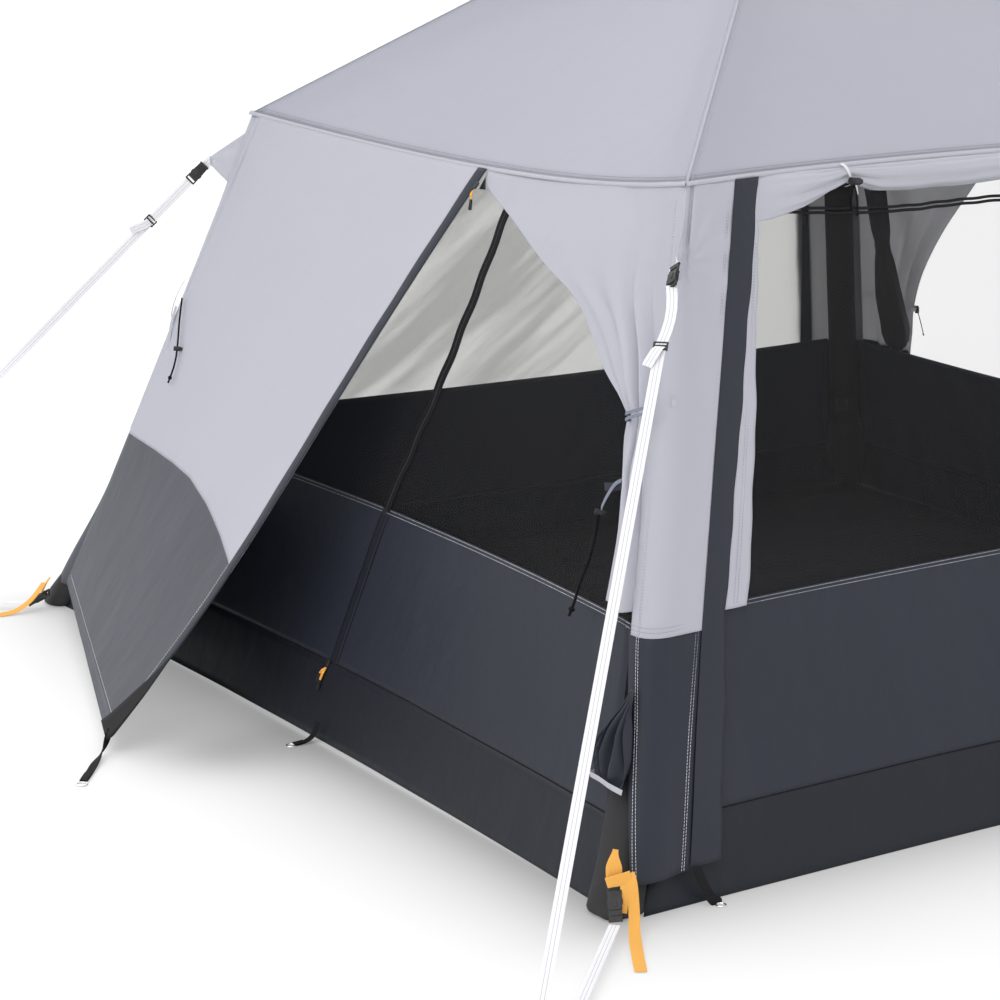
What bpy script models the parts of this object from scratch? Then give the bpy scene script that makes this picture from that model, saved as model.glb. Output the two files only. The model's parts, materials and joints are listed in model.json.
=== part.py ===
"""Square four-corner inflatable tent with screened walls, a pulled-out door flap and storm straps.

Four air legs lean in from the corners, bend at the eaves and meet at a crown over the centre.
The fabric hangs on them: a pyramid roof, wrapped corner covers, dark lower walls with screens
above, and outer doors that are pegged out, tied back or rolled up.

Units are metres, +Z up. The origin is the centre of the ground square. The faces are front
(-Y), right (+X), rear (+Y) and left (-X).
"""

import math

import bmesh
import bpy
from mathutils import Matrix, Vector

# Plan and heights of the tent's outer surface
FOOT_HALF = 1.70
CORNER_BULGE = 0.045
EAVE_HALF = 1.21
EAVE_Z = 1.72
EAVE_DRAW_IN = 0.158
EAVE_SAG = 0.09
PEAK_Z = 2.56
EAVE_RUNS = 10

# Air frame
BLADDER_R = 0.049
SLEEVE_R = 0.0535
SLEEVE_BORE_R = 0.0505
POLE_SIDES = 12
POLE_INSET = 0.085
ROOF_DROP = 0.088
BEND_LENGTH = 0.16
CROWN_BEND_LENGTH = 0.14
CROWN_ROUNDING = 0.012
SLEEVE_CROWN_GAP = 0.13
BOOT_R = 0.066
BOOT_FLARE_R = 0.076
BOOT_FLARE_Z = 0.055
BOOT_TOP_Z = 0.30
BOOT_FLOOR = 0.010
BOOT_BORE_CLEARANCE = 0.0008

# Fabric layers, measured inward from the tent's outer surface
FABRIC = 0.003
ROOF_FABRIC = 0.004
SEAM_GAP = 0.0004
REAR_COVER_DEPTH = 0.006
SCREEN_DEPTH = 0.012
DOOR_STAND_OFF = 0.007

# Wall divisions
LOWER_WALL_TOP = 0.67
WING_FOOT = 0.29
WING_EAVE = 0.213
CORNER_ROUND = 0.10
COVER_HEM_Z = 0.075
SCREEN_REACH = 0.86
REAR_COVER_REACH = 0.85
GROUNDSHEET = 0.004

# Pulled-out left door flap
FLAP_TIP = (-2.256, 0.163, 0.034)
FLAP_LEG_U = -0.925
FLAP_HEM_Z = 0.030
FLAP_EDGE_SAG = 0.035

# Tied-back doors
FOLD_COUNT = 5
FOLD_DEPTH = 0.034

# Storm straps
STRAP_WIDTH = 0.028
STRAP_THICK = 0.002
EAVE_SEAT_OUT = 0.0402
EAVE_SEAT_DROP = 0.160
FOOT_SEAT_OUT = 0.1221
FOOT_SEAT_Z = 0.055
STRAP_GROUNDS = {"front_left": (-2.629, -2.645), "rear_left": (-2.572, 2.183)}
CORNER_TURNS = {"front_left": 0, "front_right": 1, "rear_right": 2, "rear_left": 3}
RING_BAR_R = 0.0025
RING_CLEARANCE = 0.0008
RING_REACH = 0.034
BUCKLE_LENGTH = 0.064
BUCKLE_WIDTH = 0.037
BUCKLE_THICK = 0.011
SLIDER_LENGTH = 0.030
SLIDER_WIDTH = 0.036
SLIDER_THICK = 0.009
SLIDER_SLOT_CLEARANCE = 0.0012
SLIDER_PLACE = 0.20
TAB_GAP = 0.0006
TAB_WIDTH = 0.026
TAB_THICK = 0.003
TAB_STRAIGHT = 0.012
EAVE_TAB_RISE = 0.02
FOOT_TAB_Z = 0.150

# Zip runners and their pulls
ZIP_START_Z = 0.20
ZIP_RUNNER_LENGTH = 0.022
ZIP_RUNNER_WIDTH = 0.013
ZIP_RUNNER_THICK = 0.006
ZIP_PULL_LENGTH = 0.075
ZIP_PULL_R = 0.0032
ZIP_GAP = 0.0006
ZIP_TAPE_WIDTH = 0.024
ZIP_TAPE_THICK = 0.0012
ZIP_TAPE_GAP = 0.0014
ZIP_TOP_Z = 1.52

# Ties that hold doors and rolls
TIE_WIDTH = 0.016
TIE_THICK = 0.002
TIE_CLEARANCE = 0.004
BAND_WIDTH = 0.010
BAND_THICK = 0.0018
BAND_CLEARANCE = 0.0032
ROLL_REACH = 0.83
ROLL_STEPS = 28
ROLL_TIE_STEP = 4
ROLL_R = 0.040
ROLL_PINCHED_R = 0.020
BUNDLE_TOP_Z = 1.50
BUNDLE_LOW_Z = 0.66
BUNDLE_DEPTH = 0.062
BUNDLE_R = 0.026
BUNDLE_SPREAD = 0.018

# Rings and their webbing on the ground
FLAP_RING = (-2.446, -0.085, 0.0)
FLAP_RING_BORE = 0.013
DOOR_RING = (-1.790, -0.090, 0.0)
DOOR_RING_BORE = 0.010
FRONT_RING = (-1.474, -1.770, 0.0)
RING_WEBBING_WIDTH = 0.016
RING_WEBBING_FLAT = 0.020

# Inflation valve on the rear right leg
VALVE_Z = 0.42
VALVE_R = 0.021
VALVE_LENGTH = 0.020
VALVE_CAP_R = 0.024
VALVE_CAP_LENGTH = 0.012

FRONT, RIGHT, REAR, LEFT = 0, 1, 2, 3

LIGHT = ((0.60, 0.60, 0.66, 1.0), 0.75, 0.0)
DARK = ((0.045, 0.05, 0.062, 1.0), 0.8, 0.0)
MESH = ((0.02, 0.02, 0.022, 1.0), 0.9, 0.0)
BLADDER = ((0.30, 0.32, 0.35, 1.0), 0.35, 0.0)
PLASTIC = ((0.02, 0.02, 0.02, 1.0), 0.4, 0.0)
WEBBING = ((0.85, 0.85, 0.88, 1.0), 0.7, 0.0)
METAL = ((0.75, 0.75, 0.76, 1.0), 0.3, 1.0)
TAPE = ((0.50, 0.52, 0.56, 1.0), 0.7, 0.0)
CORD = ((0.85, 0.42, 0.10, 1.0), 0.7, 0.0)


def clear_scene():
    """Remove every object of the start-up scene."""
    for item in list(bpy.data.objects):
        bpy.data.objects.remove(item, do_unlink=True)


def material(name, finish):
    """A Principled BSDF material with a colour, roughness and metallic value."""
    colour, roughness, metallic = finish
    made = bpy.data.materials.new(name)
    made.use_nodes = True
    shader = made.node_tree.nodes["Principled BSDF"]
    shader.inputs["Base Color"].default_value = colour
    shader.inputs["Roughness"].default_value = roughness
    shader.inputs["Metallic"].default_value = metallic
    return made


def add_object(name, bm, finish, place=None, smooth_angle=None):
    """Turn a bmesh given in world metres into a named object, its origin at place."""
    bmesh.ops.recalc_face_normals(bm, faces=bm.faces)
    if bm.calc_volume(signed=True) < 0:
        bmesh.ops.reverse_faces(bm, faces=bm.faces)
    if place is not None:
        bmesh.ops.translate(bm, verts=bm.verts, vec=-Vector(place))
    mesh = bpy.data.meshes.new(name)
    bm.to_mesh(mesh)
    bm.free()
    mesh.materials.append(material(name, finish))
    if smooth_angle is not None:
        mesh.shade_smooth()
        mesh.set_sharp_from_angle(angle=math.radians(smooth_angle))
    made = bpy.data.objects.new(name, mesh)
    if place is not None:
        made.location = place
    bpy.context.scene.collection.objects.link(made)
    return made


def lerp(a, b, t):
    """The point or number a share t of the way from a to b."""
    return a + (b - a) * t


def turned(point, face):
    """Turn a point of the front face to another face."""
    x, y, z = point
    for _ in range(face):
        x, y = -y, x
    return Vector((x, y, z))


def eave_curve(u):
    """The front eave's curve, u from -1 at the left corner to 1 at the right one."""
    middle = 1.0 - u * u
    return Vector((u * EAVE_HALF, -(EAVE_HALF - EAVE_DRAW_IN * middle), EAVE_Z - EAVE_SAG * middle))


def eave_point(u):
    """Outer edge of the front eave, in the straight runs that the roof's facets meet it in."""
    place = (u + 1) / 2 * EAVE_RUNS
    first = min(max(math.floor(place), 0), EAVE_RUNS - 1)
    start = eave_curve(-1 + 2 * first / EAVE_RUNS)
    end = eave_curve(-1 + 2 * (first + 1) / EAVE_RUNS)
    return start + (end - start) * (place - first)


def corner_half(z):
    """Half the distance between two corner edges at a height."""
    return lerp(FOOT_HALF + CORNER_BULGE, EAVE_HALF, z / EAVE_Z)


def foot_point(u):
    """Outer foot line of the front wall, in runs that match the eave's."""
    place = (u + 1) / 2 * EAVE_RUNS
    first = min(max(math.floor(place), 0), EAVE_RUNS - 1)
    start, end = ((-1 + 2 * (first + i) / EAVE_RUNS) ** 2 for i in (0, 1))
    bulge = CORNER_BULGE * lerp(start, end, place - first)
    return Vector((u * (FOOT_HALF + CORNER_BULGE), -(FOOT_HALF + bulge), 0.0))


def wall_point(u, z, inward):
    """A point of the front wall, a layer's depth inward, u from -1 to 1 between the corners."""
    top = eave_point(u)
    point = foot_point(u).lerp(top, z / top.z)
    point.y += inward
    return point


def wall_at(x, z, inward):
    """A point of the front wall at a distance x from its middle."""
    u = x / corner_half(z)
    for _ in range(6):
        u *= x / wall_point(u, z, 0.0).x
    return wall_point(u, z, inward)


def roof_height(x, y):
    """Height of the roof's outer surface over a place in the front quarter."""
    low, high = -1.1, 1.1
    slant = x / -y
    for _ in range(40):
        u = (low + high) / 2
        if u * EAVE_HALF / -eave_point(u).y < slant:
            low = u
        else:
            high = u
    edge = eave_point(u)
    return lerp(PEAK_Z, edge.z, y / edge.y)


def under_roof(u, inward):
    """The highest point of a wall layer at the front eave, just under the roof's fabric."""
    edge = eave_point(u)
    point = edge.lerp(Vector((0.0, 0.0, PEAK_Z)), inward / -edge.y)
    return point - Vector((0.0, 0.0, ROOF_FABRIC + SEAM_GAP))


def grid_solid(outer, inner):
    """A closed sheet between two like grids of points, rows of columns."""
    bm = bmesh.new()
    rows, columns = len(outer), len(outer[0])
    front = [[bm.verts.new(p) for p in row] for row in outer]
    back = [[bm.verts.new(p) for p in row] for row in inner]
    for r in range(rows - 1):
        for c in range(columns - 1):
            bm.faces.new((front[r][c], front[r][c + 1], front[r + 1][c + 1], front[r + 1][c]))
            bm.faces.new((back[r][c], back[r + 1][c], back[r + 1][c + 1], back[r][c + 1]))
    for r in range(rows - 1):
        bm.faces.new((front[r][0], front[r + 1][0], back[r + 1][0], back[r][0]))
        bm.faces.new((front[r][-1], back[r][-1], back[r + 1][-1], front[r + 1][-1]))
    for c in range(columns - 1):
        bm.faces.new((front[0][c], back[0][c], back[0][c + 1], front[0][c + 1]))
        bm.faces.new((front[-1][c], front[-1][c + 1], back[-1][c + 1], back[-1][c]))
    return bm


def grid_normals(grid):
    """Unit normals at each point of a grid."""
    rows, columns = len(grid), len(grid[0])
    normals = []
    for r in range(rows):
        line = []
        for c in range(columns):
            along = grid[r][min(c + 1, columns - 1)] - grid[r][max(c - 1, 0)]
            across = grid[min(r + 1, rows - 1)][c] - grid[max(r - 1, 0)][c]
            line.append(along.cross(across).normalized())
        normals.append(line)
    return normals


def thickened(grid, thickness):
    """A closed sheet from one grid of points and a thickness along its normals."""
    normals = grid_normals(grid)
    inner = [
        [point + normal * thickness for point, normal in zip(row, line)]
        for row, line in zip(grid, normals)
    ]
    return grid_solid(grid, inner)


def ring_solid(rings, bore=None):
    """A closed body swept through rings of points, with a bore from other rings if given."""
    bm = bmesh.new()

    def skin(loops):
        made = [[bm.verts.new(p) for p in loop] for loop in loops]
        for first, second in zip(made, made[1:]):
            for i in range(len(first)):
                j = (i + 1) % len(first)
                bm.faces.new((first[i], first[j], second[j], second[i]))
        return made

    outer = skin(rings)
    if bore is None:
        bm.faces.new(outer[0])
        bm.faces.new(outer[-1])
        return bm
    inner = skin(bore)
    for a, b in ((outer[0], inner[0]), (outer[-1], inner[-1])):
        for i in range(len(a)):
            j = (i + 1) % len(a)
            bm.faces.new((a[i], a[j], b[j], b[i]))
    return bm


def circle(centre, across, up, radius, sides):
    """Points of a circle round a centre in the plane of two unit vectors."""
    points = []
    for i in range(sides):
        turn = 2 * math.pi * (i + 0.5) / sides
        points.append(centre + (across * math.cos(turn) + up * math.sin(turn)) * radius)
    return points


def box(size, matrix, bevel=0.0):
    """A box of a size, centred, bevelled and then placed by a matrix."""
    bm = bmesh.new()
    bmesh.ops.create_cube(bm, size=1.0, matrix=Matrix.Diagonal((*size, 1.0)))
    if bevel > 0:
        bmesh.ops.bevel(bm, geom=bm.edges[:], offset=bevel, segments=1, affect="EDGES")
    bmesh.ops.transform(bm, matrix=matrix, verts=bm.verts)
    return bm


def frame_matrix(centre, forward, side):
    """A matrix with X along side, Y along forward and Z square to both."""
    y = Vector(forward).normalized()
    z = Vector(side).cross(y).normalized()
    x = y.cross(z)
    return Matrix.Translation(centre) @ Matrix((x, y, z)).transposed().to_4x4()


def join(target, *tools):
    """Unite closed bodies into the first one."""
    for tool in tools:
        made = target.modifiers.new("join", "BOOLEAN")
        made.operation = "UNION"
        made.solver = "EXACT"
        made.object = tool
        tool.hide_render = True
        tool.display_type = "WIRE"


# Air frame


def leg_route():
    """Centre line of the air leg at the rear right corner, from foot to crown."""
    foot = FOOT_HALF + CORNER_BULGE - POLE_INSET
    lean = (FOOT_HALF + CORNER_BULGE - EAVE_HALF) / EAVE_Z
    slope = (PEAK_Z - EAVE_Z) / EAVE_HALF
    crown_z = PEAK_Z - ROOF_DROP
    bend_z = (crown_z - slope * foot) / (1 - slope * lean)
    bend_x = foot - lean * bend_z
    low = Vector((foot, foot, 0.0))
    bend = Vector((bend_x, bend_x, bend_z))
    crown = Vector((0.0, 0.0, crown_z))
    start = bend + (low - bend).normalized() * BEND_LENGTH
    end = bend + (crown - bend).normalized() * BEND_LENGTH
    near = crown + (bend - crown).normalized() * CROWN_BEND_LENGTH
    route = [low]
    steps = 6
    for i in range(steps + 1):
        t = i / steps
        route.append(start * (1 - t) ** 2 + bend * 2 * t * (1 - t) + end * t * t)
    route.append(near)
    return route, crown


def leg_rings(route, radius, floor_z, both_ends=False):
    """Rings of points round a leg's route, the ends on the ground cut level at floor_z."""
    side = Vector((-1.0, 1.0, 0.0)).normalized()
    rings = []
    for i, point in enumerate(route):
        before = route[max(i - 1, 0)]
        after = route[min(i + 1, len(route) - 1)]
        along = (after - before).normalized()
        ring = circle(point, side, along.cross(side).normalized(), radius, POLE_SIDES)
        if i == 0 or (both_ends and i == len(route) - 1):
            ring = [p + along * ((floor_z - p.z) / along.z) for p in ring]
        rings.append(ring)
    return rings


def make_air_frame():
    """One bladder: two tubular arches from foot to opposite foot, joined at the crown."""
    route, crown = leg_route()
    far_half = [Vector((-p.x, -p.y, p.z)) for p in reversed(route)]
    rounded_crown = crown - Vector((0.0, 0.0, CROWN_ROUNDING))
    arch = leg_rings(
        route + [rounded_crown] + far_half, BLADDER_R, BOOT_FLOOR + BOOT_BORE_CLEARANCE, both_ends=True
    )
    frame = add_object("air_frame", ring_solid(arch), BLADDER, smooth_angle=40)
    turned_arch = [[turned(p, 1) for p in ring] for ring in arch]
    second = add_object("second_arch", ring_solid(turned_arch), BLADDER)
    join(frame, second)


def corner_names():
    """Names of the corners in the order of quarter turns from the rear right one."""
    return ("rear_right", "rear_left", "front_left", "front_right")


def make_sleeves():
    """Fabric sleeves that hold the four air legs from the boots to near the crown."""
    route, crown = leg_route()
    route = list(route)
    route[-1] = crown + (route[-1] - crown).normalized() * (CROWN_BEND_LENGTH + SLEEVE_CROWN_GAP)
    floor_z = BOOT_FLOOR + BOOT_BORE_CLEARANCE
    outer = leg_rings(route, SLEEVE_R, floor_z)
    inner = leg_rings(route, SLEEVE_BORE_R, floor_z)
    for turn, corner in enumerate(corner_names()):
        body = ring_solid(
            [[turned(p, turn) for p in ring] for ring in outer],
            [[turned(p, turn) for p in ring] for ring in inner],
        )
        add_object(f"{corner}_pole_sleeve", body, DARK, smooth_angle=40)


def make_boots():
    """Reinforced boots, open at the top, round the foot of each leg."""
    route, _ = leg_route()
    low, high = route[0], route[1]
    along = (high - low).normalized()
    side = Vector((-1.0, 1.0, 0.0)).normalized()
    up = along.cross(side).normalized()

    def level_ring(z, radius):
        centre = low + along * (z / along.z)
        ring = circle(centre, side, up, radius, POLE_SIDES)
        return [p + along * ((z - p.z) / along.z) for p in ring]

    outer = [
        level_ring(0.0, BOOT_FLARE_R - 0.008),
        level_ring(0.012, BOOT_FLARE_R),
        level_ring(BOOT_FLARE_Z, BOOT_FLARE_R - 0.002),
        level_ring(BOOT_FLARE_Z + 0.06, BOOT_R),
        level_ring(BOOT_TOP_Z, BOOT_R - 0.003),
    ]
    bore = SLEEVE_R + BOOT_BORE_CLEARANCE
    inner = [level_ring(BOOT_TOP_Z, bore), level_ring(BOOT_FLOOR, bore)]
    for turn, corner in enumerate(corner_names()):
        rings = [[turned(p, turn) for p in ring] for ring in outer + inner]
        add_object(f"{corner}_foot_boot", ring_solid(rings), DARK, smooth_angle=40)


def make_valve():
    """Inflation valve and its screw cap, seated on the rear right sleeve, facing the cabin."""
    route, _ = leg_route()
    low, high = route[0], route[1]
    along = (high - low).normalized()
    side = Vector((-1.0, 1.0, 0.0)).normalized()
    inward = -along.cross(side).normalized()
    if inward.x > 0:
        inward = -inward
    axis = low + along * (VALVE_Z / along.z)
    flat = SLEEVE_R * math.cos(math.pi / POLE_SIDES)
    seat = axis + inward * (flat + SEAM_GAP)

    def ring(depth, radius):
        return circle(seat + inward * depth, side, along, radius, POLE_SIDES)

    rim = VALVE_R * 0.30
    body = [
        ring(0.0, rim * 1.6),
        ring(0.003, VALVE_R * 1.12),
        ring(0.006, VALVE_R * 1.12),
        ring(0.007, VALVE_R),
        ring(VALVE_LENGTH, VALVE_R),
        ring(VALVE_LENGTH, VALVE_R * 0.6),
        ring(VALVE_LENGTH * 0.5, VALVE_R * 0.55),
    ]
    add_object("inflation_valve", ring_solid(body), PLASTIC, place=seat, smooth_angle=40)
    start = VALVE_LENGTH + SEAM_GAP
    cap = [
        ring(start, VALVE_CAP_R * 0.94),
        ring(start + 0.001, VALVE_CAP_R),
        ring(start + VALVE_CAP_LENGTH - 0.002, VALVE_CAP_R),
        ring(start + VALVE_CAP_LENGTH, VALVE_CAP_R * 0.9),
    ]
    add_object("valve_cap", ring_solid(cap), PLASTIC, place=seat + inward * start, smooth_angle=40)


# Fabric


def make_roof():
    """Four triangular roof panels whose seams run up the hips to the peak."""
    columns, rows = EAVE_RUNS, 1
    top_share = 0.997
    seam = Vector((0.0, -SEAM_GAP, 0.0))
    for face, name in ((FRONT, "front"), (RIGHT, "right"), (REAR, "rear"), (LEFT, "left")):
        outer = []
        for r in range(rows + 1):
            share = top_share * r / rows
            row = []
            for c in range(columns + 1):
                edge = eave_point(-1 + 2 * c / columns)
                row.append(edge.lerp(Vector((0.0, 0.0, PEAK_Z)), share) + seam)
            outer.append([turned(p, face) for p in row])
        inner = [[p - Vector((0.0, 0.0, ROOF_FABRIC)) for p in row] for row in outer]
        add_object(f"{name}_roof_panel", grid_solid(outer, inner), LIGHT, smooth_angle=30)


def cover_wing(z):
    """How far a corner cover reaches along each wall at a height."""
    return lerp(WING_FOOT, WING_EAVE, z / EAVE_Z)


def cover_section(z_of, inward):
    """Points round the front left corner: front wall, rounded edge, left wall."""
    steps = 4
    front = []
    for i in range(3):
        def place(z, share=i / 2):
            distance = lerp(cover_wing(z), CORNER_ROUND, share)
            return wall_at(-(corner_half(z) - distance), z, inward)
        front.append(z_of(place))
    for i in range(1, steps):
        def place(z, t=i / steps * 0.5 if i < steps else 0.5):
            half = corner_half(z)
            start = wall_at(-(half - CORNER_ROUND), z, inward)
            end = Vector((start.y, start.x, z))
            corner = Vector((-(half - inward), -(half - inward), z))
            return start * (1 - t) ** 2 + corner * 2 * t * (1 - t) + end * t * t
        front.append(z_of(place))

    def middle(z):
        half = corner_half(z)
        start = wall_at(-(half - CORNER_ROUND), z, inward)
        end = Vector((start.y, start.x, z))
        corner = Vector((-(half - inward), -(half - inward), z))
        return start * 0.25 + corner * 0.5 + end * 0.25

    centre = z_of(middle)
    mirrored = [Vector((p.y, p.x, p.z)) for p in reversed(front)]
    return front + [centre] + mirrored


def level(z):
    """A rule that places a section's points at one height."""
    return lambda place: place(z)


def below_roof(place):
    """Place a section's point at the roof's underside."""
    z = EAVE_Z
    for _ in range(5):
        point = place(z)
        if abs(point.x) > abs(point.y):
            height = roof_height(point.y, point.x)
        else:
            height = roof_height(point.x, point.y)
        z = height - ROOF_FABRIC - SEAM_GAP
    return place(z)


def make_corner_covers():
    """Outer fabric wrapped round each leg, from hem to eave, with the strap tabs sewn on."""
    heights = [COVER_HEM_Z, 0.35, LOWER_WALL_TOP, 1.0, 1.35, 1.6]
    rules = [level(z) for z in heights] + [below_roof]
    outer = [cover_section(rule, 0.0) for rule in rules]
    inner = [cover_section(rule, FABRIC) for rule in rules]
    for corner, turn in CORNER_TURNS.items():
        body = grid_solid(
            [[turned(p, turn) for p in row] for row in outer],
            [[turned(p, turn) for p in row] for row in inner],
        )
        cover = add_object(f"{corner}_corner_cover", body, LIGHT, smooth_angle=40)
        join(cover, *strap_tabs(corner))


def cover_edge(z):
    """The middle of the front left corner cover's rounded edge at a height, inside its fabric."""
    half = corner_half(z)
    root = wall_at(-(half - CORNER_ROUND), z, FABRIC / 2)
    corner = Vector((-(half - FABRIC / 2), -(half - FABRIC / 2), z))
    return root * 0.25 + corner * 0.5 + Vector((root.y, root.x, z)) * 0.25


def strap_tabs(corner):
    """Webbing tabs sewn on a corner cover, at the eave and at the foot, that hold the buckles."""
    turn = CORNER_TURNS[corner]
    top, ground, foot = strap_places(corner)
    side = turned(Vector((1.0, -1.0, 0.0)).normalized(), turn)
    tabs = []
    for name, root_z, seat, onward in (
        ("eave_tab", top.z + EAVE_TAB_RISE, top, (ground - top).normalized()),
        ("foot_tab", FOOT_TAB_Z, foot, (ground - foot).normalized()),
    ):
        route = [turned(cover_edge(root_z), turn), seat - onward * TAB_STRAIGHT, seat]
        tabs.append(add_object(f"{corner}_{name}", ribbon(route, side, TAB_WIDTH, TAB_THICK), DARK))
    return tabs


def wall_panel(face, low, high, inward, reach, rows):
    """A closed wall panel between two heights, or up to the roof where high is None."""
    inside = [-1 + 2 * i / EAVE_RUNS for i in range(1, EAVE_RUNS)]
    places = [-reach] + [u for u in inside if abs(u) < reach] + [reach]
    grids = []
    for depth in (inward, inward + FABRIC):
        grid = []
        for r in range(rows + 1):
            row = []
            for u in places:
                top = under_roof(u, depth)
                z = lerp(low, top.z if high is None else high, r / rows)
                point = top if high is None and r == rows else wall_point(u, z, depth)
                row.append(turned(point, face))
            grid.append(row)
        grids.append(grid)
    return grid_solid(*grids)


def make_walls():
    """Dark lower walls on all four faces and screens over three of them."""
    names = {FRONT: "front", RIGHT: "right", REAR: "rear", LEFT: "left"}
    for face, name in names.items():
        lower = wall_panel(face, 0.0, LOWER_WALL_TOP - SEAM_GAP, SCREEN_DEPTH, SCREEN_REACH, 3)
        add_object(f"{name}_lower_wall", lower, DARK)
    for face in (FRONT, REAR, LEFT):
        screen = wall_panel(face, LOWER_WALL_TOP, None, SCREEN_DEPTH, SCREEN_REACH, 5)
        add_object(f"{names[face]}_screen", screen, MESH)


def make_rear_cover():
    """The rear outer cover, let down and zipped under the corner covers' wings."""
    body = wall_panel(REAR, COVER_HEM_Z, None, REAR_COVER_DEPTH, REAR_COVER_REACH, 6)
    add_object("rear_cover", body, LIGHT)


def make_groundsheet():
    """The sewn-in groundsheet, cut round the four boots."""
    half = -wall_point(0.0, GROUNDSHEET, SCREEN_DEPTH + FABRIC + SEAM_GAP).y
    cut = 0.20
    outline = []
    for face in range(4):
        outline.append(turned((-half + cut, -half, 0.0), face))
        outline.append(turned((half - cut, -half, 0.0), face))
    bm = ring_solid([outline, [p + Vector((0, 0, GROUNDSHEET)) for p in outline]])
    add_object("groundsheet", bm, DARK)


def edge_top(x_share, stand_off):
    """A point where an outer door is sewn along the front eave, clear of the covers."""
    edge = eave_point(x_share)
    return edge + Vector((0.0, -stand_off, -0.006))


def make_left_flap():
    """Half of the left door, pulled out from the tent and pegged down by its corner."""
    columns, rows = 10, 10
    tip = Vector(FLAP_TIP)
    eave_middle = turned(edge_top(0.0, DOOR_STAND_OFF), LEFT)
    head = flap_leg(edge_top(FLAP_LEG_U, DOOR_STAND_OFF).z)
    grid = []
    for r in range(rows + 1):
        down = r / rows
        leg = flap_leg(lerp(head.z, FLAP_HEM_Z, down))
        free = eave_middle.lerp(tip, down)
        row = []
        for c in range(columns + 1):
            out = c / columns
            eave = turned(edge_top(FLAP_LEG_U * (1 - out), DOOR_STAND_OFF), LEFT)
            point = leg.lerp(free, out) + (eave - head.lerp(eave_middle, out)) * (1 - down) ** 2
            point.z -= FLAP_EDGE_SAG * 2 * down * (1 - down) * out
            row.append(point)
        grid.append(row)
    add_object("left_door_flap", thickened(grid, FABRIC), LIGHT, smooth_angle=30)


def flap_leg(z):
    """The flap's seam beside the rear left leg, at a height."""
    return turned(wall_point(FLAP_LEG_U, z, -DOOR_STAND_OFF), LEFT)


def curtain(name, face, mirror, stations):
    """A door half tied back: stations give height, near and far edge distance from the corner."""
    columns = FOLD_COUNT * 4
    grid = []
    count = len(stations)
    for r, (z, near, far, depth) in enumerate(stations):
        row = []
        for c in range(columns + 1):
            share = c / columns
            fold = 0.5 - 0.5 * math.cos(2 * math.pi * FOLD_COUNT * share)
            if r == 0:
                u = lerp(1 - near / EAVE_HALF, 1 - far / EAVE_HALF, share)
                point = edge_top(u, DOOR_STAND_OFF + depth * fold)
            else:
                x = corner_half(z) - lerp(near, far, share)
                point = wall_at(x, z, -(DOOR_STAND_OFF + depth * fold))
            if mirror:
                point.x = -point.x
            row.append(turned(point, face))
        grid.append(row)
    if mirror:
        grid = [list(reversed(row)) for row in grid]
    add_object(name, thickened(grid, -FABRIC), LIGHT, smooth_angle=50)


def make_curtains():
    """The tied-back halves of the left and right doors."""
    corner_tied = [
        (EAVE_Z, 0.085, 1.190, 0.002),
        (1.56, 0.080, 1.080, 0.006),
        (1.47, 0.080, 0.960, 0.010),
        (1.36, 0.080, 0.700, 0.016),
        (1.24, 0.080, 0.490, 0.024),
        (1.16, 0.080, 0.330, 0.030),
        (1.10, 0.085, 0.235, FOLD_DEPTH),
        (1.02, 0.080, 0.240, 0.032),
        (0.88, 0.080, 0.255, 0.028),
        (0.66, 0.080, 0.275, 0.026),
        (0.48, 0.080, 0.200, 0.026),
        (0.36, 0.080, 0.190, 0.030),
        (0.27, 0.090, 0.160, 0.030),
        (0.20, 0.080, 0.190, 0.028),
    ]
    curtain("left_door_curtain", LEFT, False, corner_tied)
    curtain("front_right_door_curtain", RIGHT, True, corner_tied)
    side_tied = [
        (EAVE_Z, 0.085, 1.190, 0.002),
        (1.50, 0.080, 1.000, 0.008),
        (1.36, 0.080, 0.850, 0.014),
        (1.16, 0.080, 0.660, 0.022),
        (0.98, 0.080, 0.540, 0.028),
        (0.85, 0.080, 0.480, FOLD_DEPTH),
        (0.70, 0.080, 0.450, 0.030),
        (0.40, 0.080, 0.400, 0.026),
        (0.12, 0.080, 0.380, 0.022),
    ]
    curtain("rear_right_door_curtain", RIGHT, False, side_tied)


def make_front_roll():
    """The front cover, rolled up under the eave and pinched by two ties."""
    up = Vector((0.0, 0.0, 1.0))
    rings = []
    for i in range(ROLL_STEPS + 1):
        centre, along, radius = roll_place(i)
        rings.append(circle(centre, along.cross(up).normalized(), up, radius, 10))
    add_object("front_cover_roll", ring_solid(rings), LIGHT, smooth_angle=50)
    for name, i in (("front_left", ROLL_TIE_STEP), ("front_right", ROLL_STEPS - ROLL_TIE_STEP)):
        centre, along, radius = roll_place(i)
        add_band(f"{name}_roll_tie", centre, along, along.cross(up).normalized(), up, radius)


def roll_place(step):
    """Centre, direction and radius of the front roll at one of its steps."""
    tie = ROLL_REACH * (1 - 2 * ROLL_TIE_STEP / ROLL_STEPS)
    u = lerp(-ROLL_REACH, ROLL_REACH, step / ROLL_STEPS)
    near_tie = math.exp(-(((abs(u) - tie) / 0.045) ** 2))
    radius = lerp(ROLL_R, ROLL_PINCHED_R, near_tie)
    edge = eave_point(u)
    lean = wall_point(u, edge.z - 0.05, 0.0).y - edge.y
    centre = edge + Vector((0.0, lean - radius - DOOR_STAND_OFF, -ROLL_R - 0.004))
    along = (eave_point(u + 0.01) - eave_point(u - 0.01)).normalized()
    return centre, along, radius


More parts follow.
